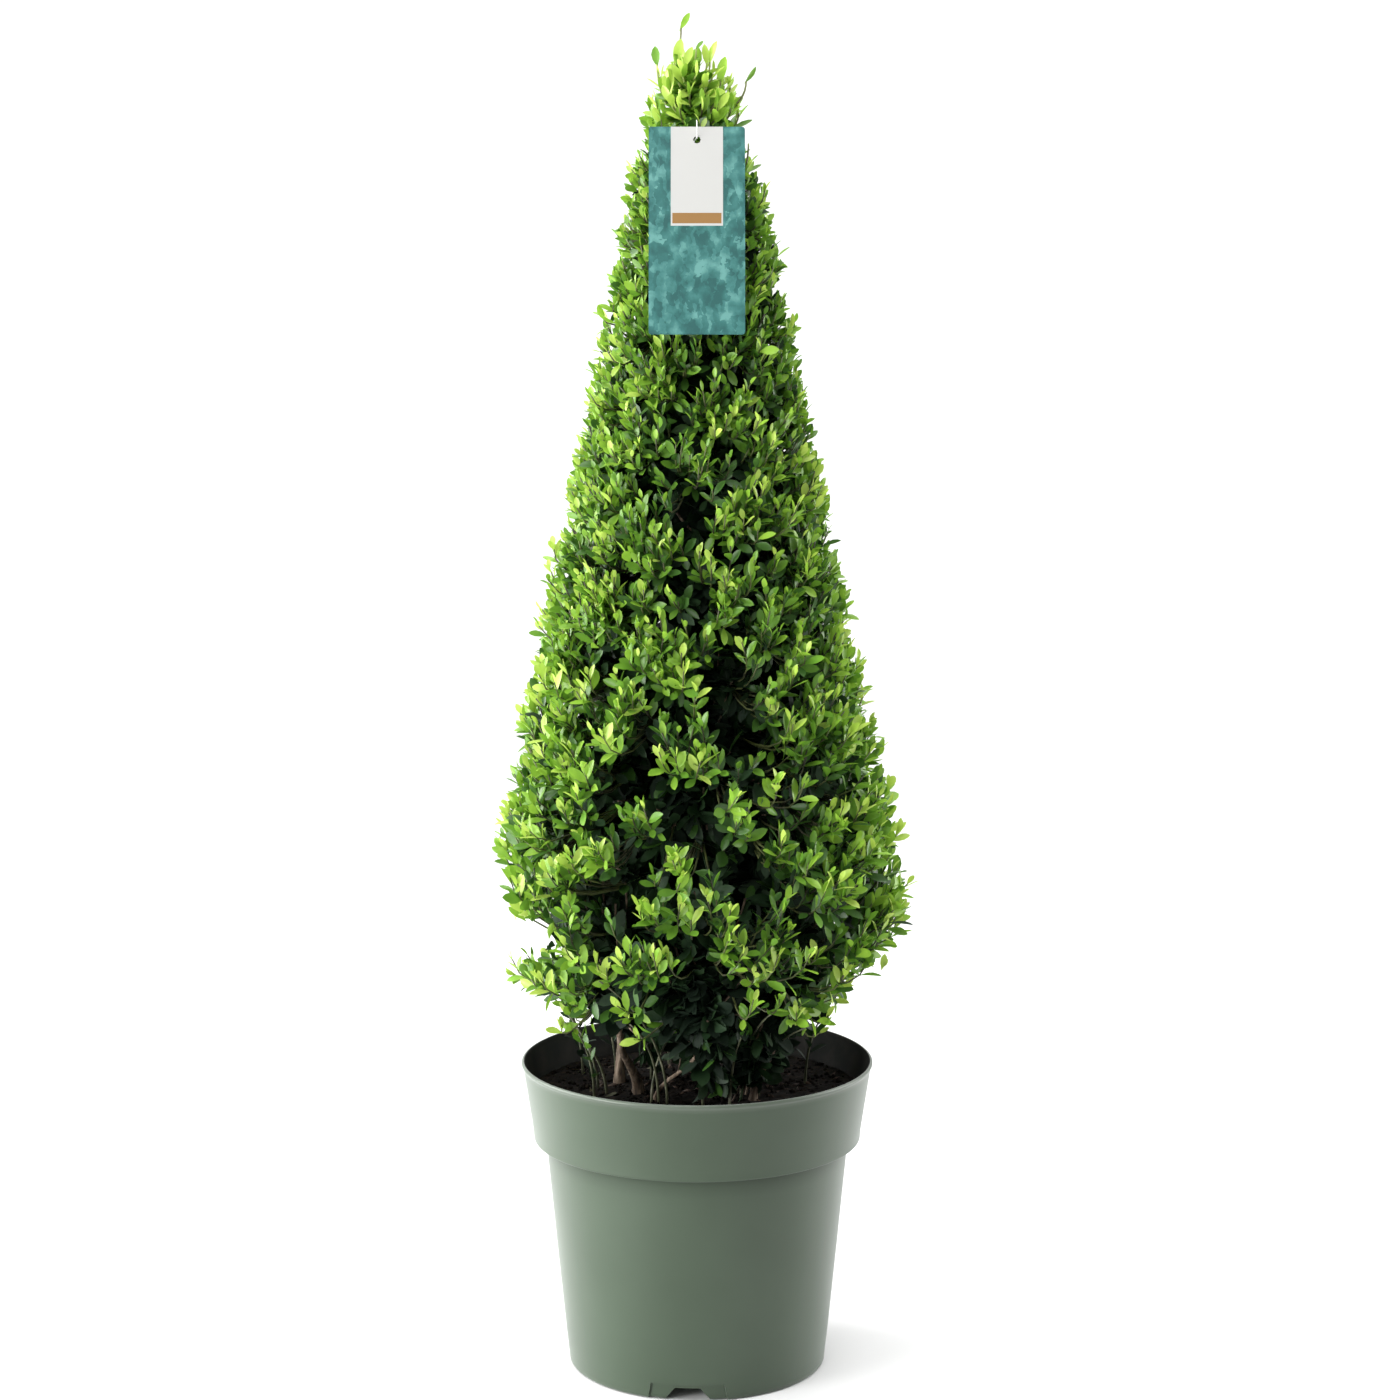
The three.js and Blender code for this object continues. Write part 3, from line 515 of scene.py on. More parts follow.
mass_names, bough_guides, twig_targets, twig_mass = [], [], [], []
for level, tier in enumerate(TIERS):
    for sector in range(tier["sectors"]):
        middle = sector_angle(tier["turn"], tier["sectors"], sector)
        half = np.pi / tier["sectors"]
        heart = crown_point(middle, tier["foot"] + 0.62 * (tier["top"] - tier["foot"]), 0.42)
        if level == 0:
            start = stem_ends[sector]
            bough_guides.append([start, start + UP * 0.014, heart - UP * 0.02, heart])
        else:
            start = leader_at(tier["foot"] - TIER_LIFT * crown_radius(tier["foot"]) + 0.012)
            outwards = polar(0.012, middle, 0.0)
            bough_guides.append([start, start + outwards, heart - UP * 0.018, heart])
        spread = (grow.uniform(0, 1, 2) + EVEN_SPREAD * np.arange(tier["twigs"])[:, None]) % 1 * 2 - 1
        turn = middle + spread[:, 0] * half * 0.95
        bare_side = (np.cos(turn) < 0.05) & (np.sin(turn) < 0.5)
        lowest = np.maximum(tier["foot"], np.where(bare_side, HEM_FRONT, 0))
        height = lowest + (tier["top"] - lowest) * (0.5 + 0.49 * spread[:, 1])
        share = np.maximum(1 - tier["depth"] / crown_radius(height), 0.3)
        twig_targets.append(crown_point(turn, height, share))
        twig_mass.append(np.full(tier["twigs"], len(mass_names)))
        mass_names.append(f"{tier['name']}_{sector + 1}")

bough_paths = curves(*np.moveaxis(np.array(bough_guides), 1, 0), steps=14)
boughs = limb_piece("boughs", bough_paths, bark, thick=0.0021, thin=0.0014, sides=9)

twig_mass = np.concatenate(twig_mass)
twig_roots = along_path(bough_paths[twig_mass], grow.uniform(0.45, 1.0, len(twig_mass)))
spur_height = np.linspace(SPURS["from"], SPURS["to"], SPURS["count"])
spur_turn = GOLDEN_ANGLE * np.arange(SPURS["count"])
spur_climb = spur_height + SPURS["climb"] * crown_radius(spur_height)
twig_roots = np.concatenate([twig_roots, leader_at(spur_height)])
twig_targets = np.concatenate([*twig_targets, crown_point(spur_turn, spur_climb, SPURS["share"])])
twig_count = len(twig_targets)
twig_reach = np.linalg.norm(twig_targets - twig_roots, axis=1, keepdims=True)
twig_bends = twig_roots + 0.55 * (twig_targets - twig_roots) - UP * 0.18 * twig_reach
twig_bends = twig_bends + grow.normal(0, 0.05, (twig_count, 3)) * twig_reach
twig_paths = curves(twig_roots, twig_bends, twig_targets, steps=10)
twigs = limb_piece("twigs", twig_paths, bark, thick=0.0013, thin=0.0007, sides=6)

# Shoots are this year's growth: thin green stems that rise from the twigs to the clipped surface.
# They stand close all round, and leave dark gaps where the shears or shade have thinned them.
# Low at the front they are few, and gather in bright sprays at the ends of the outer twigs.

SHOOTS = 3900
SURFACE_DEPTH = 0.0015
GAPS = [
    (-74, 0.472, 0.018, 0.034), (-92, 0.405, 0.024, 0.022), (-73, 0.362, 0.022, 0.020),
    (-93, 0.284, 0.026, 0.058), (-112, 0.440, 0.010, 0.028), (-94, 0.598, 0.014, 0.019),
    (-88, 0.540, 0.011, 0.015), (-122, 0.318, 0.018, 0.016), (-128, 0.475, 0.010, 0.014),
    (-60, 0.415, 0.012, 0.016), (-50, 0.290, 0.014, 0.016), (-8, 0.288, 0.030, 0.009),
    (-150, 0.262, 0.018, 0.012), (-112, 0.360, 0.014, 0.026), (0, 0.834, 0.026, 0.020),
    (-70, 0.276, 0.034, 0.016),
]
OTHER_GAPS = 22
DIPS = [
    (180, 0.428, 0.050, 0.018, 0.009), (182, 0.345, 0.060, 0.014, 0.042),
    (180, 0.308, 0.110, 0.027, 0.080), (180, 0.252, 0.100, 0.022, 0.016),
    (0, 0.252, 0.100, 0.026, 0.022), (-4, 0.288, 0.040, 0.010, 0.008),
]
DEEPEST_DIP = 0.030
THINNED = [(0.26, 0.76), (0.33, 0.50), (0.42, 0.32), (0.52, 0.18), (0.64, 0.12), (0.74, 0.05)]
SPRAYS = [
    (-0.126, -0.010, 0.285), (-0.088, -0.034, 0.255), (-0.046, -0.088, 0.264), (-0.066, -0.106, 0.308),
    (-0.022, -0.126, 0.318), (-0.032, -0.130, 0.348), (-0.013, -0.128, 0.384), (0.006, -0.134, 0.356),
    (0.026, -0.130, 0.326), (0.038, -0.118, 0.302), (0.054, -0.102, 0.280), (0.070, -0.068, 0.262),
    (0.088, -0.050, 0.256), (0.080, -0.092, 0.310), (0.127, -0.030, 0.314), (-0.118, -0.020, 0.318),
    (0.126, -0.012, 0.296),
]
SHOOTS_IN_SPRAY = 2
SIDE_SLOTS = [
    {"side": -1, "from": 0.099, "height": 0.3005, "half": 0.0075},
    {"side": 1, "from": 0.106, "height": 0.2623, "half": 0.0075},
]
SLOT_SLOPE = -0.23
CARD_TOP = (-0.0450, 0.842)
CARD_FOOT = (-0.0730, 0.710)
CARD_CLEAR = {"half_width": 0.0325, "ends": 0.004, "behind": 0.003}


def surface_spread(count, low, high):
    """Angles and heights spread over the crown's surface, closer towards the top: heights follow the
    running total of girth times closeness, and both step by the shares of an even two-way sequence."""
    heights = np.linspace(low, high, 400)
    closeness = np.interp(heights, [0.30, 0.75], [1.0, 1.55])
    total = np.cumsum(crown_radius(heights) * closeness)
    total = (total - total[0]) / (total[-1] - total[0])
    steps = (np.arange(count)[:, None] * EVEN_SPREAD + 0.37) % 1
    return 2 * np.pi * steps[:, 0], np.interp(steps[:, 1], total, heights)


def patchy(across, up):
    """An uneven field from 0 to 1 in upright patches: the rank, among all places, of a sum of sine
    waves of random direction and length that run twice as far upwards as across."""
    turn = grow.uniform(0, 2 * np.pi, 30)
    length = grow.uniform(0.015, 0.042, 30)
    phase = grow.uniform(0, 2 * np.pi, 30)
    run = across[:, None] * np.cos(turn) + 0.5 * up[:, None] * np.sin(turn)
    field = np.sin(2 * np.pi * run / length + phase).sum(1) + grow.normal(0, 1.6, len(up))
    return field.argsort().argsort() / len(field)


def oval_reach(points, ovals):
    """How far out points lie in ovals on the crown's surface, squared: 0 in the middle, 1 at the edge.
    An oval has an angle in degrees, a height and two half sizes, across and upright."""
    middle, level, wide, tall = ovals.T
    height = points[:, 2:]
    turn = np.arctan2(points[:, 1], points[:, 0])[:, None] - np.radians(middle)
    across = (np.remainder(turn + np.pi, 2 * np.pi) - np.pi) * crown_radius(height) / wide
    return across ** 2 + ((height - level) / tall) ** 2


def in_gap(points, gaps):
    """True for points that lie in the oval of any gap."""
    return (oval_reach(points, gaps) < 1).any(1)


def dip_depth(points):
    """How far the surface lies back: in each dip's oval its depth, easing to none at the edge."""
    dips = np.array(DIPS)
    return (dips[:, 4] * np.clip(1 - oval_reach(points, dips[:, :4]), 0, 1)).sum(1)


def in_front_of_card(points):
    """True from just behind the card label's sheet towards the front, within its width and height."""
    lean = (CARD_TOP[0] - CARD_FOOT[0]) / (CARD_TOP[1] - CARD_FOOT[1])
    x, y, z = np.moveaxis(points, -1, 0)
    level = (z > CARD_FOOT[1] - CARD_CLEAR["ends"]) & (z < CARD_TOP[1] + CARD_CLEAR["ends"])
    ahead = y < CARD_FOOT[0] + (z - CARD_FOOT[1]) * lean + CARD_CLEAR["behind"]
    return level & ahead & (np.abs(x) < CARD_CLEAR["half_width"])


def in_side_slot(points):
    """True in the slots on both sides of the skirt: from a distance outwards, within half a height of a
    plane that slopes down to the back."""
    x, y, z = np.moveaxis(points, -1, 0)
    return np.any([
        (x * slot["side"] > slot["from"]) & (np.abs(z - slot["height"] - SLOT_SLOPE * y) < slot["half"])
        for slot in SIDE_SLOTS
    ], 0)


def shoots_to(tips, outward, carrier):
    """Shoots from twigs to their tips: each leaves its twig further back the longer it is, and comes
    to its tip heading outwards and up, the more upright the higher it stands."""
    reach = np.linalg.norm(tips - twig_targets[carrier], axis=1)
    roots = along_path(twig_paths[carrier], 1 - 0.5 * np.clip(reach / 0.075, 0.02, 1))
    lift = np.interp(tips[:, 2], [0.24, 0.30, 0.40, 0.85], [0.55, 1.05, 1.30, 1.40])
    heading = unit(0.45 * outward + UP * lift[:, None] + grow.normal(0, 0.24, tips.shape))
    length = np.linalg.norm(tips - roots, axis=1, keepdims=True)
    return curves(roots, tips - heading * 0.60 * np.minimum(length, 0.055), tips, steps=6), length


gap_list = np.concatenate([
    np.array(GAPS),
    np.column_stack([
        grow.uniform(20, 160, OTHER_GAPS),
        grow.uniform(0.25, 0.72, OTHER_GAPS),
        grow.uniform(0.008, 0.018, OTHER_GAPS),
        grow.uniform(0.012, 0.026, OTHER_GAPS),
    ]),
])

shoot_angle, shoot_height = surface_spread(SHOOTS, HEM_BACK, 0.846)
shoot_place = crown_point(shoot_angle, shoot_height, 0.97) + grow.normal(0, 0.004, (SHOOTS, 3))
carrier = np.linalg.norm(shoot_place[:, None, :] - twig_targets[None], axis=2).argmin(1)
carried = np.maximum(np.bincount(carrier, minlength=twig_count), 1)
bunch = np.stack([np.bincount(carrier, shoot_place[:, k], twig_count) / carried for k in range(3)], -1)
bunching = np.interp(shoot_height, [0.25, 0.45, 0.75], [0.28, 0.22, 0.10])[:, None]
shoot_place = shoot_place + bunching * (bunch[carrier] - shoot_place)
shoot_angle, shoot_height = np.arctan2(shoot_place[:, 1], shoot_place[:, 0]), shoot_place[:, 2]
hem = HEM_BACK + (HEM_FRONT - HEM_BACK) * np.clip(0.5 - 1.2 * np.sin(shoot_angle), 0, 1)
facing_front = np.clip(-2.0 * np.sin(shoot_angle) - 0.6, 0.25, 1)
lost = facing_front * np.interp(shoot_height, *np.array(THINNED).T)
dip = dip_depth(shoot_place)
kept = ~in_gap(shoot_place, gap_list) & (shoot_height > hem) & (dip < DEEPEST_DIP)
kept = kept & (patchy(shoot_angle * crown_radius(shoot_height), shoot_height) > lost)
shoot_angle, shoot_height = shoot_angle[kept], shoot_height[kept]
carrier, dip = carrier[kept], dip[kept]
shoot_count = len(shoot_angle)
looseness = np.interp(shoot_height, [0.26, 0.36, 0.50, 0.80], [2.6, 1.7, 1.2, 0.6])
recess = grow.gamma(1.5, 0.0034, shoot_count) * looseness
straggling = grow.uniform(0, 1, shoot_count) < np.interp(shoot_height, [0.26, 0.4], [0.14, 0.05])
recess = np.where(straggling, -grow.uniform(0.001, 0.005, shoot_count), recess)
outward = polar(1.0, shoot_angle, 0.0)
shoot_radius = crown_radius(shoot_height) - SURFACE_DEPTH - recess - dip
shoot_tips = polar(shoot_radius, shoot_angle, shoot_height)
shoot_paths, shoot_length = shoots_to(shoot_tips, outward, carrier)
crosses_gap = in_gap(shoot_paths[:, 3], gap_list * [1, 1, 0.8, 0.8])
clear = ~(in_front_of_card(shoot_paths).any(1) | crosses_gap)
shoot_paths, shoot_length = shoot_paths[clear], shoot_length[clear]
outward, recess = outward[clear], recess[clear]
shoot_count = len(shoot_paths)

spray_tips = np.repeat(np.array(SPRAYS), SHOOTS_IN_SPRAY, axis=0)
spray_stray = grow.normal(0, 0.0050, spray_tips.shape) * [1.0, 1.0, 1.2] - UP * 0.005
spray_stray[::SHOOTS_IN_SPRAY] = 0
spray_tips = spray_tips + spray_stray
spray_carrier = np.linalg.norm(spray_tips[:, None, :] - twig_targets[None], axis=2).argmin(1)
spray_paths, spray_length = shoots_to(spray_tips, unit(spray_tips * [1, 1, 0]), spray_carrier)

all_shoots = np.concatenate([shoot_paths, spray_paths])
all_shoots = all_shoots[~in_side_slot(all_shoots[:, 3:]).any(1)]
shoot_skin = patchy_finish("shoot_stem", roughness=0.6, scale=45.0, detail=2.0, stops=[
    (0.4, (0.032, 0.032, 0.014)),
    (0.6, (0.085, 0.104, 0.027)),
])
shoot_stems = limb_piece("shoot_stems", all_shoots, shoot_skin, thick=0.00085, thin=0.00045, sides=4)

# Leaves are small, oval and blunt, leathery and glossy, folded a little along the midrib.
# They spiral up each shoot, lime green at its tip and deep green on the older wood inside, where the
# darkest greens are painted shade.

LEAF_ROWS = np.array([0.0, 0.14, 0.38, 0.64, 0.87, 1.0])
LEAF_HALF = np.array([0.08, 0.30, 0.82, 1.0, 0.66, 0.10])
LEAF_LENGTH = 0.0124
SHOOT_LEAVES = {"count": 9, "step": 0.0044}
SPRAY_LEAVES = {"size": 1.06 * LEAF_LENGTH, "count": 8, "step": 0.0036, "opening": 0.9}
OLD_LEAVES = 13000
HEART_LEAVES = 700
CORE_LEAVES = 1500
CORE_SIZE = 1.35
LABEL_LEAVES = 60
HIGH_LEAVES = 260
HIGH_STEP = 118
TOP_LEAVES = 800
TOP_FROM = 0.64
BARE_FOOT = {"below": 0.240, "beyond": 0.080}
OPEN_SIDE = {"x": -0.010, "y": 0.020}


def leaf_blades(root, direction, facing, length, width, fold, curl):
    """Leaf blades in their own outline: rows of three points from root to tip, the outer two lifted
    by the fold on both sides of the midrib, and the tip bent back with the square of the length."""
    across = unit(np.cross(facing, direction))
    normal = np.cross(direction, across)
    side = np.array([-1.0, 0.0, 1.0])[None, None, :]
    row = LEAF_ROWS[None, :, None]
    half = LEAF_HALF[None, :, None] * (width * length / 2)[:, None, None]
    lengthwise = row * length[:, None, None] * np.ones_like(side)
    sideways = side * half * np.cos(fold)[:, None, None]
    raised = np.abs(side) * half * np.sin(fold)[:, None, None] - (curl * length)[:, None, None] * row ** 2
    points = root[:, None, None, :] + sum(
        amount[..., None] * axis[:, None, None, :]
        for amount, axis in zip([lengthwise, sideways, raised], [direction, across, normal])
    )
    return points.reshape(len(root), -1, 3)


def leaf_faces(count):
    """Quads of many blades, upper side out."""
    rows = len(LEAF_ROWS)
    one = grid_faces(rows, 3, False)[:, ::-1]
    return (one[None] + np.arange(count)[:, None, None] * rows * 3).reshape(-1, 4)


def seats(paths, place, back):
    """Where leaves sit: the point at a share of each path, and the way the path runs there, from a
    share back to a little ahead."""
    ahead = along_path(paths, np.minimum(place + 0.05, 1))
    return along_path(paths, place), unit(ahead - along_path(paths, np.maximum(place - back, 0)))


def shoot_leaves(paths, lengths, youth_and_shade, size, count, step, opening=1.0, slim=1.0):
    """Leaves in a spiral down shoots from the tip: each a golden turn from the next, nearly upright
    at the tip and opening lower down. Returns blades, and a tint from 0, lime, to 1, dark."""
    shoots = len(paths)
    order = np.arange(count)[None, :] + grow.uniform(-0.3, 0.3, (shoots, count))
    share = 1 - (0.0012 + step * np.maximum(order, 0)) / lengths
    grows = share > 0.06
    which = np.broadcast_to(np.arange(shoots)[:, None], (shoots, count))[grows]
    place, order = share[grows], order[grows]
    root, axis = seats(paths[which], place, back=0.05)
    total = len(which)
    roll = grow.uniform(0, 2 * np.pi, shoots)[which] + GOLDEN_ANGLE * np.round(order)
    roll = roll + grow.normal(0, 0.40, total)
    flat = unit(np.cross(axis, np.array([0.31, 0.52, 0.79])))
    outwards = np.cos(roll)[:, None] * flat + np.sin(roll)[:, None] * np.cross(axis, flat)
    spread = opening * np.radians(16 + 36 * np.clip(order / 3.5, 0, 1) + grow.normal(0, 12, total))
    direction = unit(np.cos(spread)[:, None] * axis + np.sin(spread)[:, None] * outwards + 0.18 * UP)
    facing = unit(axis + 0.25 * UP - 0.15 * outwards + grow.normal(0, 0.36, (total, 3)))
    young = np.interp(order, [0, 1, 2.5, 4], [0.60, 0.84, 1.0, 1.05])
    length = np.broadcast_to(size, shoots)[which] * young * grow.uniform(0.82, 1.16, total)
    fold = np.radians(grow.uniform(8, 26, total))
    curl = grow.uniform(-0.02, 0.12, total)
    width = slim * grow.uniform(0.36, 0.50, total)
    blades = leaf_blades(root, direction, facing, length, width, fold, curl)
    tint = 0.50 * (1 - youth_and_shade[which]) + 0.050 * order + grow.normal(0, 0.07, total)
    return blades, tint


def old_leaves(paths, count, size=1.0, shade=0.0):
    """Older leaves on the wood under the surface, turned every way and larger. Their tint puts them in the
    darkest greens, darker inwards, as painted shade inside the crown. Size is a factor on their length,
    and shade is added to their tint."""
    length_of = np.linalg.norm(paths[:, -1] - paths[:, 0], axis=1)
    which = grow.choice(len(paths), count, p=length_of / length_of.sum())
    place = grow.uniform(0.0, 1.0, count) ** 0.75
    root, axis = seats(paths[which], place, back=0.1)
    direction = unit(0.5 * axis + 0.15 * UP + unit(grow.normal(0, 1, (count, 3))))
    facing = unit(UP * 0.7 + axis * 0.4 + grow.normal(0, 0.5, (count, 3)))
    length = size * LEAF_LENGTH * grow.uniform(1.05, 1.5, count) * (1.5 - 0.5 * place)
    fold = np.radians(grow.uniform(4, 18, count))
    curl = grow.uniform(0.0, 0.15, count)
    blades = leaf_blades(root, direction, facing, length, grow.uniform(0.44, 0.56, count), fold, curl)
    return blades, 0.70 + 0.34 * (1 - place) + grow.normal(0, 0.06, count) + shade


# Youth sets the outer leaves' tint. Shoots set deeper get darker leaves, partly older growth and partly
# painted shade; leaves are lighter low on the crown and darker near the top; and the right side is darker
# and the left a touch lighter, as painted shade and light.
youth_and_shade = np.clip(0.74 - recess / 0.018 + grow.normal(0, 0.20, shoot_count), 0, 1)
youth_and_shade = youth_and_shade + np.interp(shoot_paths[:, -1, 2], [0.25, 0.5, 0.70, 0.85], [0.08, 0.02, -0.12, -0.18])
youth_and_shade = youth_and_shade + 0.08 * np.clip(-outward[:, 0] * 1.6, -1, 0.1)
leaf_growth = np.interp(shoot_paths[:, -1, 2], [0.32, 0.45, 0.60, 0.78], [1.20, 1.14, 1.02, 1.00])
leaf_size = LEAF_LENGTH * leaf_growth
outer_blades, outer_tint = shoot_leaves(shoot_paths, shoot_length, youth_and_shade, leaf_size, **SHOOT_LEAVES)
leaf_middle = outer_blades.mean(1)
leaf_share = np.hypot(leaf_middle[:, 0], leaf_middle[:, 1]) / crown_radius(leaf_middle[:, 2])
covers_gap = in_gap(leaf_middle, gap_list * [1, 1, 0.85, 0.85]) & (leaf_share > 0.70)
spray_youth = grow.uniform(0.75, 1.0, len(spray_paths))
# Apart from the outer shoots and the sprays, these groups come from old_leaves, so their dark tint is
# painted shade inside the crown; the core's larger leaves are darker still, to fill the middle.
leaf_groups = [
    (outer_blades[~covers_gap], outer_tint[~covers_gap]),
    shoot_leaves(spray_paths, spray_length, spray_youth, **SPRAY_LEAVES),
    old_leaves(twig_paths, OLD_LEAVES),
    old_leaves(bough_paths[:STEMS], HEART_LEAVES),
    old_leaves(twig_paths[-SPURS["count"]:], CORE_LEAVES, size=CORE_SIZE, shade=0.12),
]
# A short twig behind the card carries dark leaves, painted shade seen through the card's hole.
label_twig = curves(leader_at(np.array([0.812])), [[0.0, -0.010, 0.828]], [[0.0, -0.034, 0.834]], steps=9)
label_leaves = old_leaves(label_twig, LABEL_LEAVES, shade=-0.12)
leaf_groups += [
    old_leaves(leader_path[:, HIGH_STEP:], HIGH_LEAVES),
    old_leaves(twig_paths[twig_targets[:, 2] > TOP_FROM], TOP_LEAVES),
    label_leaves,
]
crown_blades, crown_tint = map(np.concatenate, zip(*leaf_groups))
lowest = crown_blades[..., 2].min(1)
leaf_x, leaf_y = crown_blades[..., 0].mean(1), crown_blades[..., 1].mean(1)
open_side = (leaf_x < OPEN_SIDE["x"]) & (leaf_y < OPEN_SIDE["y"])
open_side = open_side | (np.hypot(leaf_x, leaf_y) > BARE_FOOT["beyond"])
bare_foot = open_side & (lowest < BARE_FOOT["below"])
unfit = in_front_of_card(crown_blades).any(1) | in_side_slot(crown_blades).any(1)
fits = ~(unfit | bare_foot | (lowest < SOIL_LEVEL + 0.004))
crown_blades, crown_tint = crown_blades[fits], crown_tint[fits]

# The tuft at the top is the loosest growth: upright shoots with larger, lighter leaves.
# They branch from the leader's own tip, and a few lone leaves stand clear on thin twigs.

TUFT_SHOOTS = 36
TUFT_LEAVES = {"size": 0.0166, "count": 9, "step": 0.0044, "opening": 0.62, "slim": 0.84}
TUFT_HEIGHT = 0.886
TUFT_RADIUS = 0.030
TUFT_HEART = 0.005
TUFT_STEPS = 9
LONE_FOLD = 0.34
LONE_CURL = 0.12
NECK_LEAVES = 110
LONE_LEAVES = [
    ((-0.0165, 0.880), (-0.0114, 0.9053), (-0.0049, 0.9171), 0.34, 0.28),
    ((-0.0200, 0.858), (-0.0259, 0.8817), (-0.0279, 0.8954), 0.46, 0.46),
    ((0.0180, 0.852), (0.0311, 0.8714), (0.0394, 0.8817), 0.32, 0.40),
    ((0.0080, 0.838), (0.0194, 0.8500), (0.0246, 0.8660), 0.42, 0.52),
    ((-0.0050, 0.872), (-0.0013, 0.8926), (0.0039, 0.8990), 0.36, 0.34),
    ((-0.0080, 0.864), (-0.0145, 0.8820), (-0.0105, 0.9000), 0.40, 0.04),
    ((-0.0060, 0.864), (-0.0090, 0.8800), (-0.0035, 0.8950), 0.38, 0.08),
    ((0.0020, 0.866), (0.0080, 0.8825), (0.0118, 0.8988), 0.38, 0.06),
    ((0.0020, 0.866), (0.0065, 0.8820), (0.0050, 0.8965), 0.36, 0.10),
    ((0.0060, 0.850), (0.0152, 0.8702), (0.0176, 0.8885), 0.42, 0.22),
    ((-0.0080, 0.850), (-0.0170, 0.8640), (-0.0185, 0.8835), 0.38, 0.10),
]
BARE_TWIG = ((0.024, -0.014, 0.798), (0.0335, -0.026, 0.832))
tip_base = np.array([LEADER["top"]])
tip_paths = curves(tip_base, tip_base + UP * 0.02, [[-0.005, 0.0, 0.878]], steps=TUFT_STEPS)
tuft_turn = GOLDEN_ANGLE * np.arange(TUFT_SHOOTS)
tuft_share = np.sqrt((np.arange(TUFT_SHOOTS) + 0.5) / TUFT_SHOOTS)
tuft_out = TUFT_HEART + (TUFT_RADIUS - TUFT_HEART) * tuft_share
tuft_height = TUFT_HEIGHT - 0.033 * (tuft_out / TUFT_RADIUS) ** 1.6 + grow.normal(0, 0.004, TUFT_SHOOTS)
tuft_tips = polar(tuft_out, tuft_turn, tuft_height) + [LEADER["top"][0], 0, 0]
tuft_roots = along_path(np.repeat(tip_paths, TUFT_SHOOTS, 0), np.linspace(0.95, 0.0, TUFT_SHOOTS))
lone_feet, lone_roots, lone_tips, lone_width, lone_tint = map(np.array, zip(*LONE_LEAVES))
lone_depth = np.linspace(0.0, -0.008, len(LONE_LEAVES))[:, None]
lone_feet, lone_roots, lone_tips = (
    np.concatenate([ends[:, :1], lone_depth * share, ends[:, 1:]], 1)
    for ends, share in ((lone_feet, 0.5), (lone_roots, 1.0), (lone_tips, 1.1))
)
stem_feet_up = np.concatenate([tuft_roots, lone_feet, [BARE_TWIG[0]]])
stem_tops = np.concatenate([tuft_tips, 0.85 * lone_roots + 0.15 * lone_tips, [BARE_TWIG[1]]])
tuft_length = np.linalg.norm(stem_tops - stem_feet_up, axis=1, keepdims=True)
tuft_paths = curves(stem_feet_up, stem_tops - UP * 0.5 * tuft_length, stem_tops, steps=TUFT_STEPS)
tuft_all = np.concatenate([tip_paths, tuft_paths])
tuft_skin = patchy_finish("tuft_stem", roughness=0.6, scale=45.0, detail=2.0, stops=[
    (0.4, (0.085, 0.090, 0.030)),
    (0.6, (0.260, 0.320, 0.085)),
])
tuft_stems = limb_piece("tuft_stems", tuft_all, tuft_skin, thick=0.0010, thin=0.0006, sides=5)
tuft_youth = np.interp(tuft_tips[:, 2], [0.852, 0.866, 0.880], [0.76, 0.90, 1.02])
bushy = shoot_leaves(tuft_paths[:TUFT_SHOOTS], tuft_length[:TUFT_SHOOTS], tuft_youth, **TUFT_LEAVES)
lone_way = lone_tips - lone_roots
lone_long = np.linalg.norm(lone_way, axis=1)
lone_count = len(LONE_LEAVES)
lone_facing = unit(np.array([0.0, -1.0, 0.3]) + grow.normal(0, 0.4, (lone_count, 3)))
lone_blades = leaf_blades(
    lone_roots, unit(lone_way), lone_facing, lone_long, lone_width,
    np.full(lone_count, LONE_FOLD), np.full(lone_count, LONE_CURL),
)
neck = old_leaves(tip_paths, NECK_LEAVES, shade=-0.42)
bushy_blades, bushy_tint = map(np.concatenate, zip(bushy, neck))
behind_card = ~in_front_of_card(bushy_blades).any(1)

# Thin shoots also rise from the soil round the stems, with small leaves tinted dark as painted shade under
# the skirt.
# Old leaves that have dropped lie on the soil, pale and dry.

BASAL_SHOOTS = [
    ((-0.080, 0.040), (-0.090, 0.030, 0.244)), ((-0.057, 0.046), (-0.071, 0.030, 0.248)),
    ((-0.031, -0.030), (-0.014, -0.050, 0.246)), ((0.038, -0.014), (0.050, -0.036, 0.236)),
    ((0.075, 0.020), (0.088, 0.000, 0.246)), ((0.022, -0.046), (0.030, -0.074, 0.248)),
    ((0.004, -0.040), (0.000, -0.066, 0.252)), ((0.060, 0.050), (0.078, 0.058, 0.240)),
    ((-0.020, 0.070), (-0.026, 0.088, 0.244)), ((-0.070, -0.020), (-0.080, -0.038, 0.240)),
    ((-0.008, 0.050), (-0.026, 0.072, 0.260)), ((-0.032, 0.030), (-0.035, 0.046, 0.264)),
]
SPRAY_STEMS = [
    ((-0.068, 0.002), (-0.112, -0.012, 0.272)), ((-0.062, -0.008), (-0.092, -0.030, 0.248)),
    ((-0.026, -0.030), (-0.044, -0.084, 0.258)), ((-0.020, -0.034), (-0.064, -0.094, 0.290)),
    ((0.030, -0.020), (0.050, -0.092, 0.268)), ((0.042, -0.012), (0.072, -0.062, 0.250)),
]
BASAL_LEAVES = {"size": 0.0130, "count": 10, "step": 0.0048}
FALLEN_LEAVES = 15


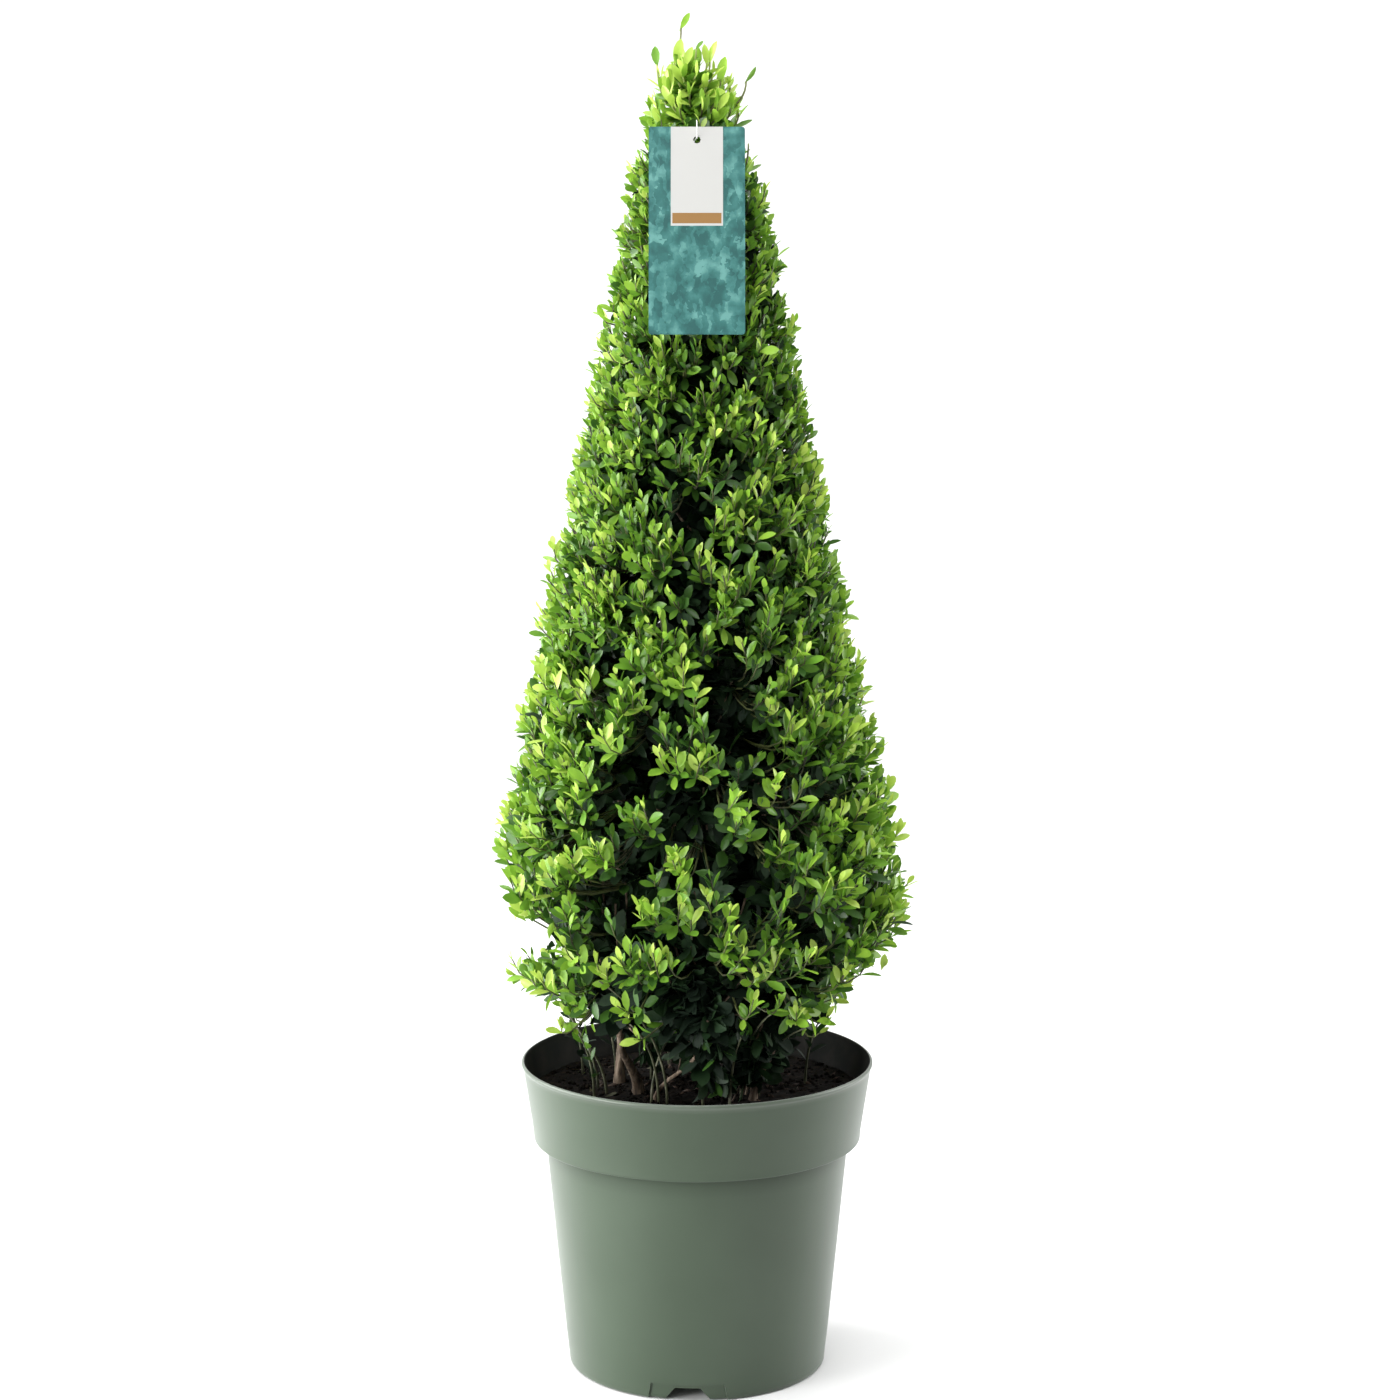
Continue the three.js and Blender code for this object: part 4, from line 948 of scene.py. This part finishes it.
def risers(rows, upright):
    """Stems from feet in the soil to their tips, which set out upright for a share of their length and
    then lean over. Returns the paths and the straight lengths."""
    feet = np.array([[*foot, SOIL_LEVEL - 0.003] for foot, tip in rows])
    tips = np.array([tip for foot, tip in rows])
    length = np.linalg.norm(tips - feet, axis=1, keepdims=True)
    return curves(feet, feet + UP * upright * length, tips, steps=12), length


basal_paths, basal_length = risers(BASAL_SHOOTS, upright=0.55)
foot_paths = np.concatenate([basal_paths, risers(SPRAY_STEMS, upright=0.45)[0]])
basal_skin = patchy_finish("basal_stem", roughness=0.65, scale=90.0, detail=3.0, stops=[
    (0.35, (0.040, 0.046, 0.024)),
    (0.55, (0.085, 0.092, 0.048)),
    (0.75, (0.180, 0.170, 0.125)),
])
basal_stems = limb_piece("basal_shoots", foot_paths, basal_skin, thick=0.0011, thin=0.0005, sides=7)
# The basal leaves' low youth gives them dark greens, painted shade under the skirt.
basal_youth_and_shade = grow.uniform(-0.3, 0.25, len(BASAL_SHOOTS))
basal_blades, basal_tint = shoot_leaves(basal_paths, basal_length, basal_youth_and_shade, **BASAL_LEAVES)

fallen_turn = grow.uniform(np.radians(120), np.radians(250), FALLEN_LEAVES)
fallen_out = grow.uniform(0.050, 0.108, FALLEN_LEAVES)
fallen_roots = polar(fallen_out, fallen_turn, SOIL_LEVEL + 0.003)
fallen_way = unit(grow.normal(0, 1, (FALLEN_LEAVES, 3)) * [1.0, 1.0, 0.25])
fallen_blades = leaf_blades(
    fallen_roots, fallen_way, unit(UP + grow.normal(0, 0.35, (FALLEN_LEAVES, 3))),
    grow.uniform(0.006, 0.011, FALLEN_LEAVES), grow.uniform(0.30, 0.50, FALLEN_LEAVES),
    np.radians(grow.uniform(5, 35, FALLEN_LEAVES)), grow.uniform(-0.2, 0.1, FALLEN_LEAVES),
)
dry_leaf = patchy_finish("fallen_leaf", roughness=0.75, scale=55.0, detail=2.0, stops=[
    (0.38, (0.036, 0.042, 0.022)),
    (0.52, (0.095, 0.085, 0.050)),
    (0.66, (0.200, 0.180, 0.110)),
])
fallen = mesh_piece("fallen_leaves", fallen_blades.reshape(-1, 3), [leaf_faces(FALLEN_LEAVES)], [dry_leaf])

# All the living leaves are sorted by age and painted shade into six greens, and each green is joined into
# its own pieces.
# The palest is the newest growth at the shoot tips; the two darkest, old and shaded, are near black,
# painted shade for the leaves inside the crown and near the stems.

LEAVES_IN_PIECE = 7000
LEAF_GREENS = [
    ("lime", (0.440, 0.585, 0.110), (0.320, 0.480, 0.062), 0.30, 0.36),
    ("spring", (0.255, 0.440, 0.046), (0.170, 0.340, 0.030), 0.30, 0.35),
    ("summer", (0.132, 0.280, 0.027), (0.086, 0.205, 0.019), 0.25, 0.35),
    ("deep", (0.052, 0.134, 0.019), (0.032, 0.090, 0.014), 0.20, 0.38),
    ("old", (0.018, 0.046, 0.014), (0.010, 0.028, 0.010), 0.12, 0.55),
    ("shaded", (0.007, 0.018, 0.008), (0.004, 0.011, 0.005), 0.08, 0.70),
]


def leaf_finish(name, light, dark, through, roughness):
    """Leathery leaf: two near shades in soft patches, glossy above, with some light coming through."""
    specular = 0.40 - 0.5 * max(roughness - 0.38, 0.0)
    finish, tree, shader = new_finish(f"leaf_{name}", roughness, specular)
    patch = noise_on(tree, scale=70.0)
    shade = ramp_on(tree, patch.outputs["Fac"], [(0.35, dark), (0.65, light)])
    fill(tree, shader, {"Base Color": shade})
    glow = add_node(tree, "BsdfTranslucent", {"Color": shade})
    both = {"Fac": through, 1: shader.outputs["BSDF"], 2: glow.outputs["BSDF"]}
    leaf = add_node(tree, "MixShader", both)
    fill(tree, tree.nodes["Material Output"], {"Surface": leaf.outputs["Shader"]})
    return finish


blades = np.concatenate([crown_blades, bushy_blades[behind_card], lone_blades, basal_blades])
tint = np.concatenate([crown_tint, bushy_tint[behind_card], lone_tint, basal_tint])
green = np.clip((tint * len(LEAF_GREENS)).astype(int), 0, len(LEAF_GREENS) - 1)
for number, (name, *shades) in enumerate(LEAF_GREENS):
    chosen = blades[green == number]
    finish = leaf_finish(name, *shades)
    for part in range(0, len(chosen), LEAVES_IN_PIECE):
        some = chosen[part:part + LEAVES_IN_PIECE]
        piece_name = f"leaves_{name}_{part // LEAVES_IN_PIECE + 1}"
        leaves = mesh_piece(piece_name, some.reshape(-1, 3), [leaf_faces(len(some))], [finish])
        if piece_name == "leaves_summer_1":
            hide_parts(*mass_names, "tip")

# The label is a stiff printed card, punched near its top edge: mottled teal, with a bare white
# panel and an ochre band across the panel's foot. It hangs at the crown's front on a white loop.

PANEL = {"half_width": 0.0168, "foot": 0.7790}
BAND = {"half_width": 0.0158, "foot": 0.7805, "top": 0.7872}


def card_finish():
    """Printed card: teal in ragged slanting patches, a white panel at the top and an ochre band, cut out
    by comparing the place with their edges."""
    finish, tree, shader = new_finish("card", roughness=0.38)

    def reckon(operation, *values):
        """One step of arithmetic on sockets and numbers."""
        return add_node(tree, "Math", dict(enumerate(values)), operation=operation).outputs["Value"]

    def paint(under, colour, where):
        """A colour over another where a value is 1."""
        layers = {"Factor": where, "A": under, "B": (*colour, 1.0)}
        return add_node(tree, "Mix", layers, data_type="RGBA").outputs["Result"]

    place = add_node(tree, "TexCoord", {}).outputs["Object"]
    slant = {"Vector": place, "Rotation": (0.0, np.radians(38), 0.0), "Scale": (1.8, 1.0, 0.8)}
    lay = add_node(tree, "Mapping", slant)
    ragged = noise_on(tree, scale=170.0)
    strayed = {0: ragged.outputs["Color"], 1: (0.014, 0.014, 0.014), 2: lay.outputs["Vector"]}
    bent = add_node(tree, "VectorMath", strayed, operation="MULTIPLY_ADD")
    patches = add_node(tree, "TexVoronoi", {"Vector": bent.outputs["Vector"], "Scale": 140.0})
    patch_shade = add_node(tree, "SeparateColor", {"Color": patches.outputs["Color"]})
    cloud = noise_on(tree, scale=95.0, detail=4.0)
    mottle = reckon("MULTIPLY_ADD", patch_shade.outputs["Red"], 0.30, cloud.outputs["Fac"])
    teal = ramp_on(tree, mottle, [
        (0.44, (0.012, 0.075, 0.071)),
        (0.58, (0.020, 0.107, 0.100)),
        (0.70, (0.037, 0.149, 0.138)),
        (0.86, (0.094, 0.252, 0.230)),
    ])
    axes = add_node(tree, "SeparateXYZ", {"Vector": place})
    aside, height = reckon("ABSOLUTE", axes.outputs["X"]), axes.outputs["Z"]
    panel, band = (
        reckon(
            "MULTIPLY",
            reckon("LESS_THAN", aside, area["half_width"]),
            reckon("GREATER_THAN", height, area["foot"]),
        )
        for area in (PANEL, BAND)
    )
    band = reckon("MULTIPLY", band, reckon("LESS_THAN", height, BAND["top"]))
    shade = paint(paint(teal, (0.42, 0.42, 0.405), panel), (0.23, 0.121, 0.036), band)
    fill(tree, shader, {"Base Color": shade})
    return finish


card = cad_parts["tag_card"]
card.data.materials.clear()
card.data.materials.append(card_finish())

LOOP_RADIUS = 0.0003
LOOP_ROUTE = [
    (0.0, -0.0489, 0.8388), (0.0, -0.0479, 0.8349), (0.0, -0.0465, 0.8353), (0.0, -0.0440, 0.8358),
    (-0.0065, -0.0160, 0.8240), (-0.0057, -0.0016, 0.8240), (-0.0020, 0.0034, 0.8240),
    (0.0017, -0.0016, 0.8240), (0.0025, -0.0160, 0.8240), (0.0, -0.0420, 0.8440),
    (0.0, -0.0459, 0.8452), (0.0, -0.0489, 0.8402),
]


def smooth_route(points, steps):
    """A closed curve through every point: each stretch is a cubic whose slopes at its ends are half
    the step between the neighbours on both sides."""
    here = np.array(points)
    after, later, before = np.roll(here, -1, 0), np.roll(here, -2, 0), np.roll(here, 1, 0)
    t = np.linspace(0, 1, steps, endpoint=False)[None, :, None]
    start, end = (after - before)[:, None, :] / 2, (later - here)[:, None, :] / 2
    here, after = here[:, None, :], after[:, None, :]
    curve = (
        (2 * t ** 3 - 3 * t ** 2 + 1) * here
        + (t ** 3 - 2 * t ** 2 + t) * start
        + (3 * t ** 2 - 2 * t ** 3) * after
        + (t ** 3 - t ** 2) * end
    )
    return curve.reshape(1, -1, 3)


loop_skin = patchy_finish("loop", roughness=0.35, scale=300.0, detail=2.0, stops=[
    (0.3, (0.62, 0.63, 0.61)),
    (0.7, (0.70, 0.71, 0.69)),
])
loop_path = smooth_route(LOOP_ROUTE, steps=8)
loop = limb_piece("label_loop", loop_path, loop_skin, thick=LOOP_RADIUS, thin=LOOP_RADIUS, sides=8)
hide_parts("tag_loop")

# A pale sweep stands in for a studio floor, lit by large soft lights on both sides and above.
# The camera looks slightly down on the plant from the front.

FLOOR = {"front": -5.0, "back": 2.4, "half_width": 6.0, "bend": 0.9, "top": 5.0, "drop": 0.0003}
paper = patchy_finish("studio_paper", roughness=0.9, scale=2.0, detail=3.0, stops=[
    (0.3, (0.58, 0.58, 0.58)),
    (0.7, (0.61, 0.61, 0.61)),
])
sweep = np.linspace(0, np.pi / 2, 24)
rising_y = FLOOR["back"] + FLOOR["bend"] * np.sin(sweep)
rising_z = FLOOR["bend"] - FLOOR["bend"] * np.cos(sweep)
floor_x = np.array([-FLOOR["half_width"], FLOOR["half_width"]])
floor_y = np.concatenate([[FLOOR["front"], 0.0], rising_y, [FLOOR["back"] + FLOOR["bend"]]])[:, None]
floor_z = np.concatenate([[0.0, 0.0], rising_z, [FLOOR["top"]]])[:, None] - FLOOR["drop"]
floor_points = np.stack(np.broadcast_arrays(floor_x, floor_y, floor_z), -1).reshape(-1, 3)
floor = mesh_object("studio_floor", floor_points, [grid_faces(len(floor_y), 2, False)], [paper])


def soft_light(name, place, aim, size, power):
    """A rectangular area lamp at a place, turned to its aim."""
    lamp = bpy.data.lights.new(name, "AREA")
    lamp.shape = "RECTANGLE"
    lamp.size, lamp.size_y = size
    lamp.energy = power
    stand = bpy.data.objects.new(name, lamp)
    stand.location = place
    way = np.array(aim) - np.array(place)
    level = np.hypot(way[0], way[1])
    stand.rotation_euler = (np.arctan2(level, -way[2]), 0.0, np.arctan2(way[1], way[0]) - np.pi / 2)
    bpy.context.scene.collection.objects.link(stand)


soft_light("left_softbox", (-1.8, 0.35, 1.0), (0.0, 0.0, 0.5), (1.2, 1.9), 86.0)
soft_light("right_softbox", (1.8, 0.45, 1.0), (0.0, 0.0, 0.5), (1.2, 1.9), 57.0)
soft_light("overhead", (-0.3, -0.8, 2.4), (0.0, 0.0, 0.5), (1.3, 1.3), 43.0)
soft_light("front_fill", (-0.9, -2.8, 1.5), (0.0, 0.0, 0.5), (1.2, 1.2), 8.0)
soft_light("left_strip", (-1.7, -1.1, 0.45), (0.0, 0.0, 0.2), (0.9, 1.0), 60.0)
soft_light("backdrop_wash", (0.0, 1.2, 3.2), (0.0, 3.0, 0.4), (3.0, 1.2), 130.0)

world = bpy.data.worlds.new("studio_air")
world.use_nodes = True
air = world.node_tree.nodes["Background"]
fill(world.node_tree, air, {"Color": (1.0, 1.0, 1.0, 1.0), "Strength": 0.25})
bpy.context.scene.world = world
bpy.context.scene.view_settings.view_transform = "Standard"

camera_data = bpy.data.cameras.new("camera")
camera_data.sensor_width = 36.0
camera_data.lens = 81.18
camera = bpy.data.objects.new("camera", camera_data)
camera.location = (0.002, -2.111, 0.7767)
camera.rotation_euler = (np.radians(90 - 8.48), 0.0, 0.0)
bpy.context.scene.collection.objects.link(camera)
bpy.context.scene.camera = camera
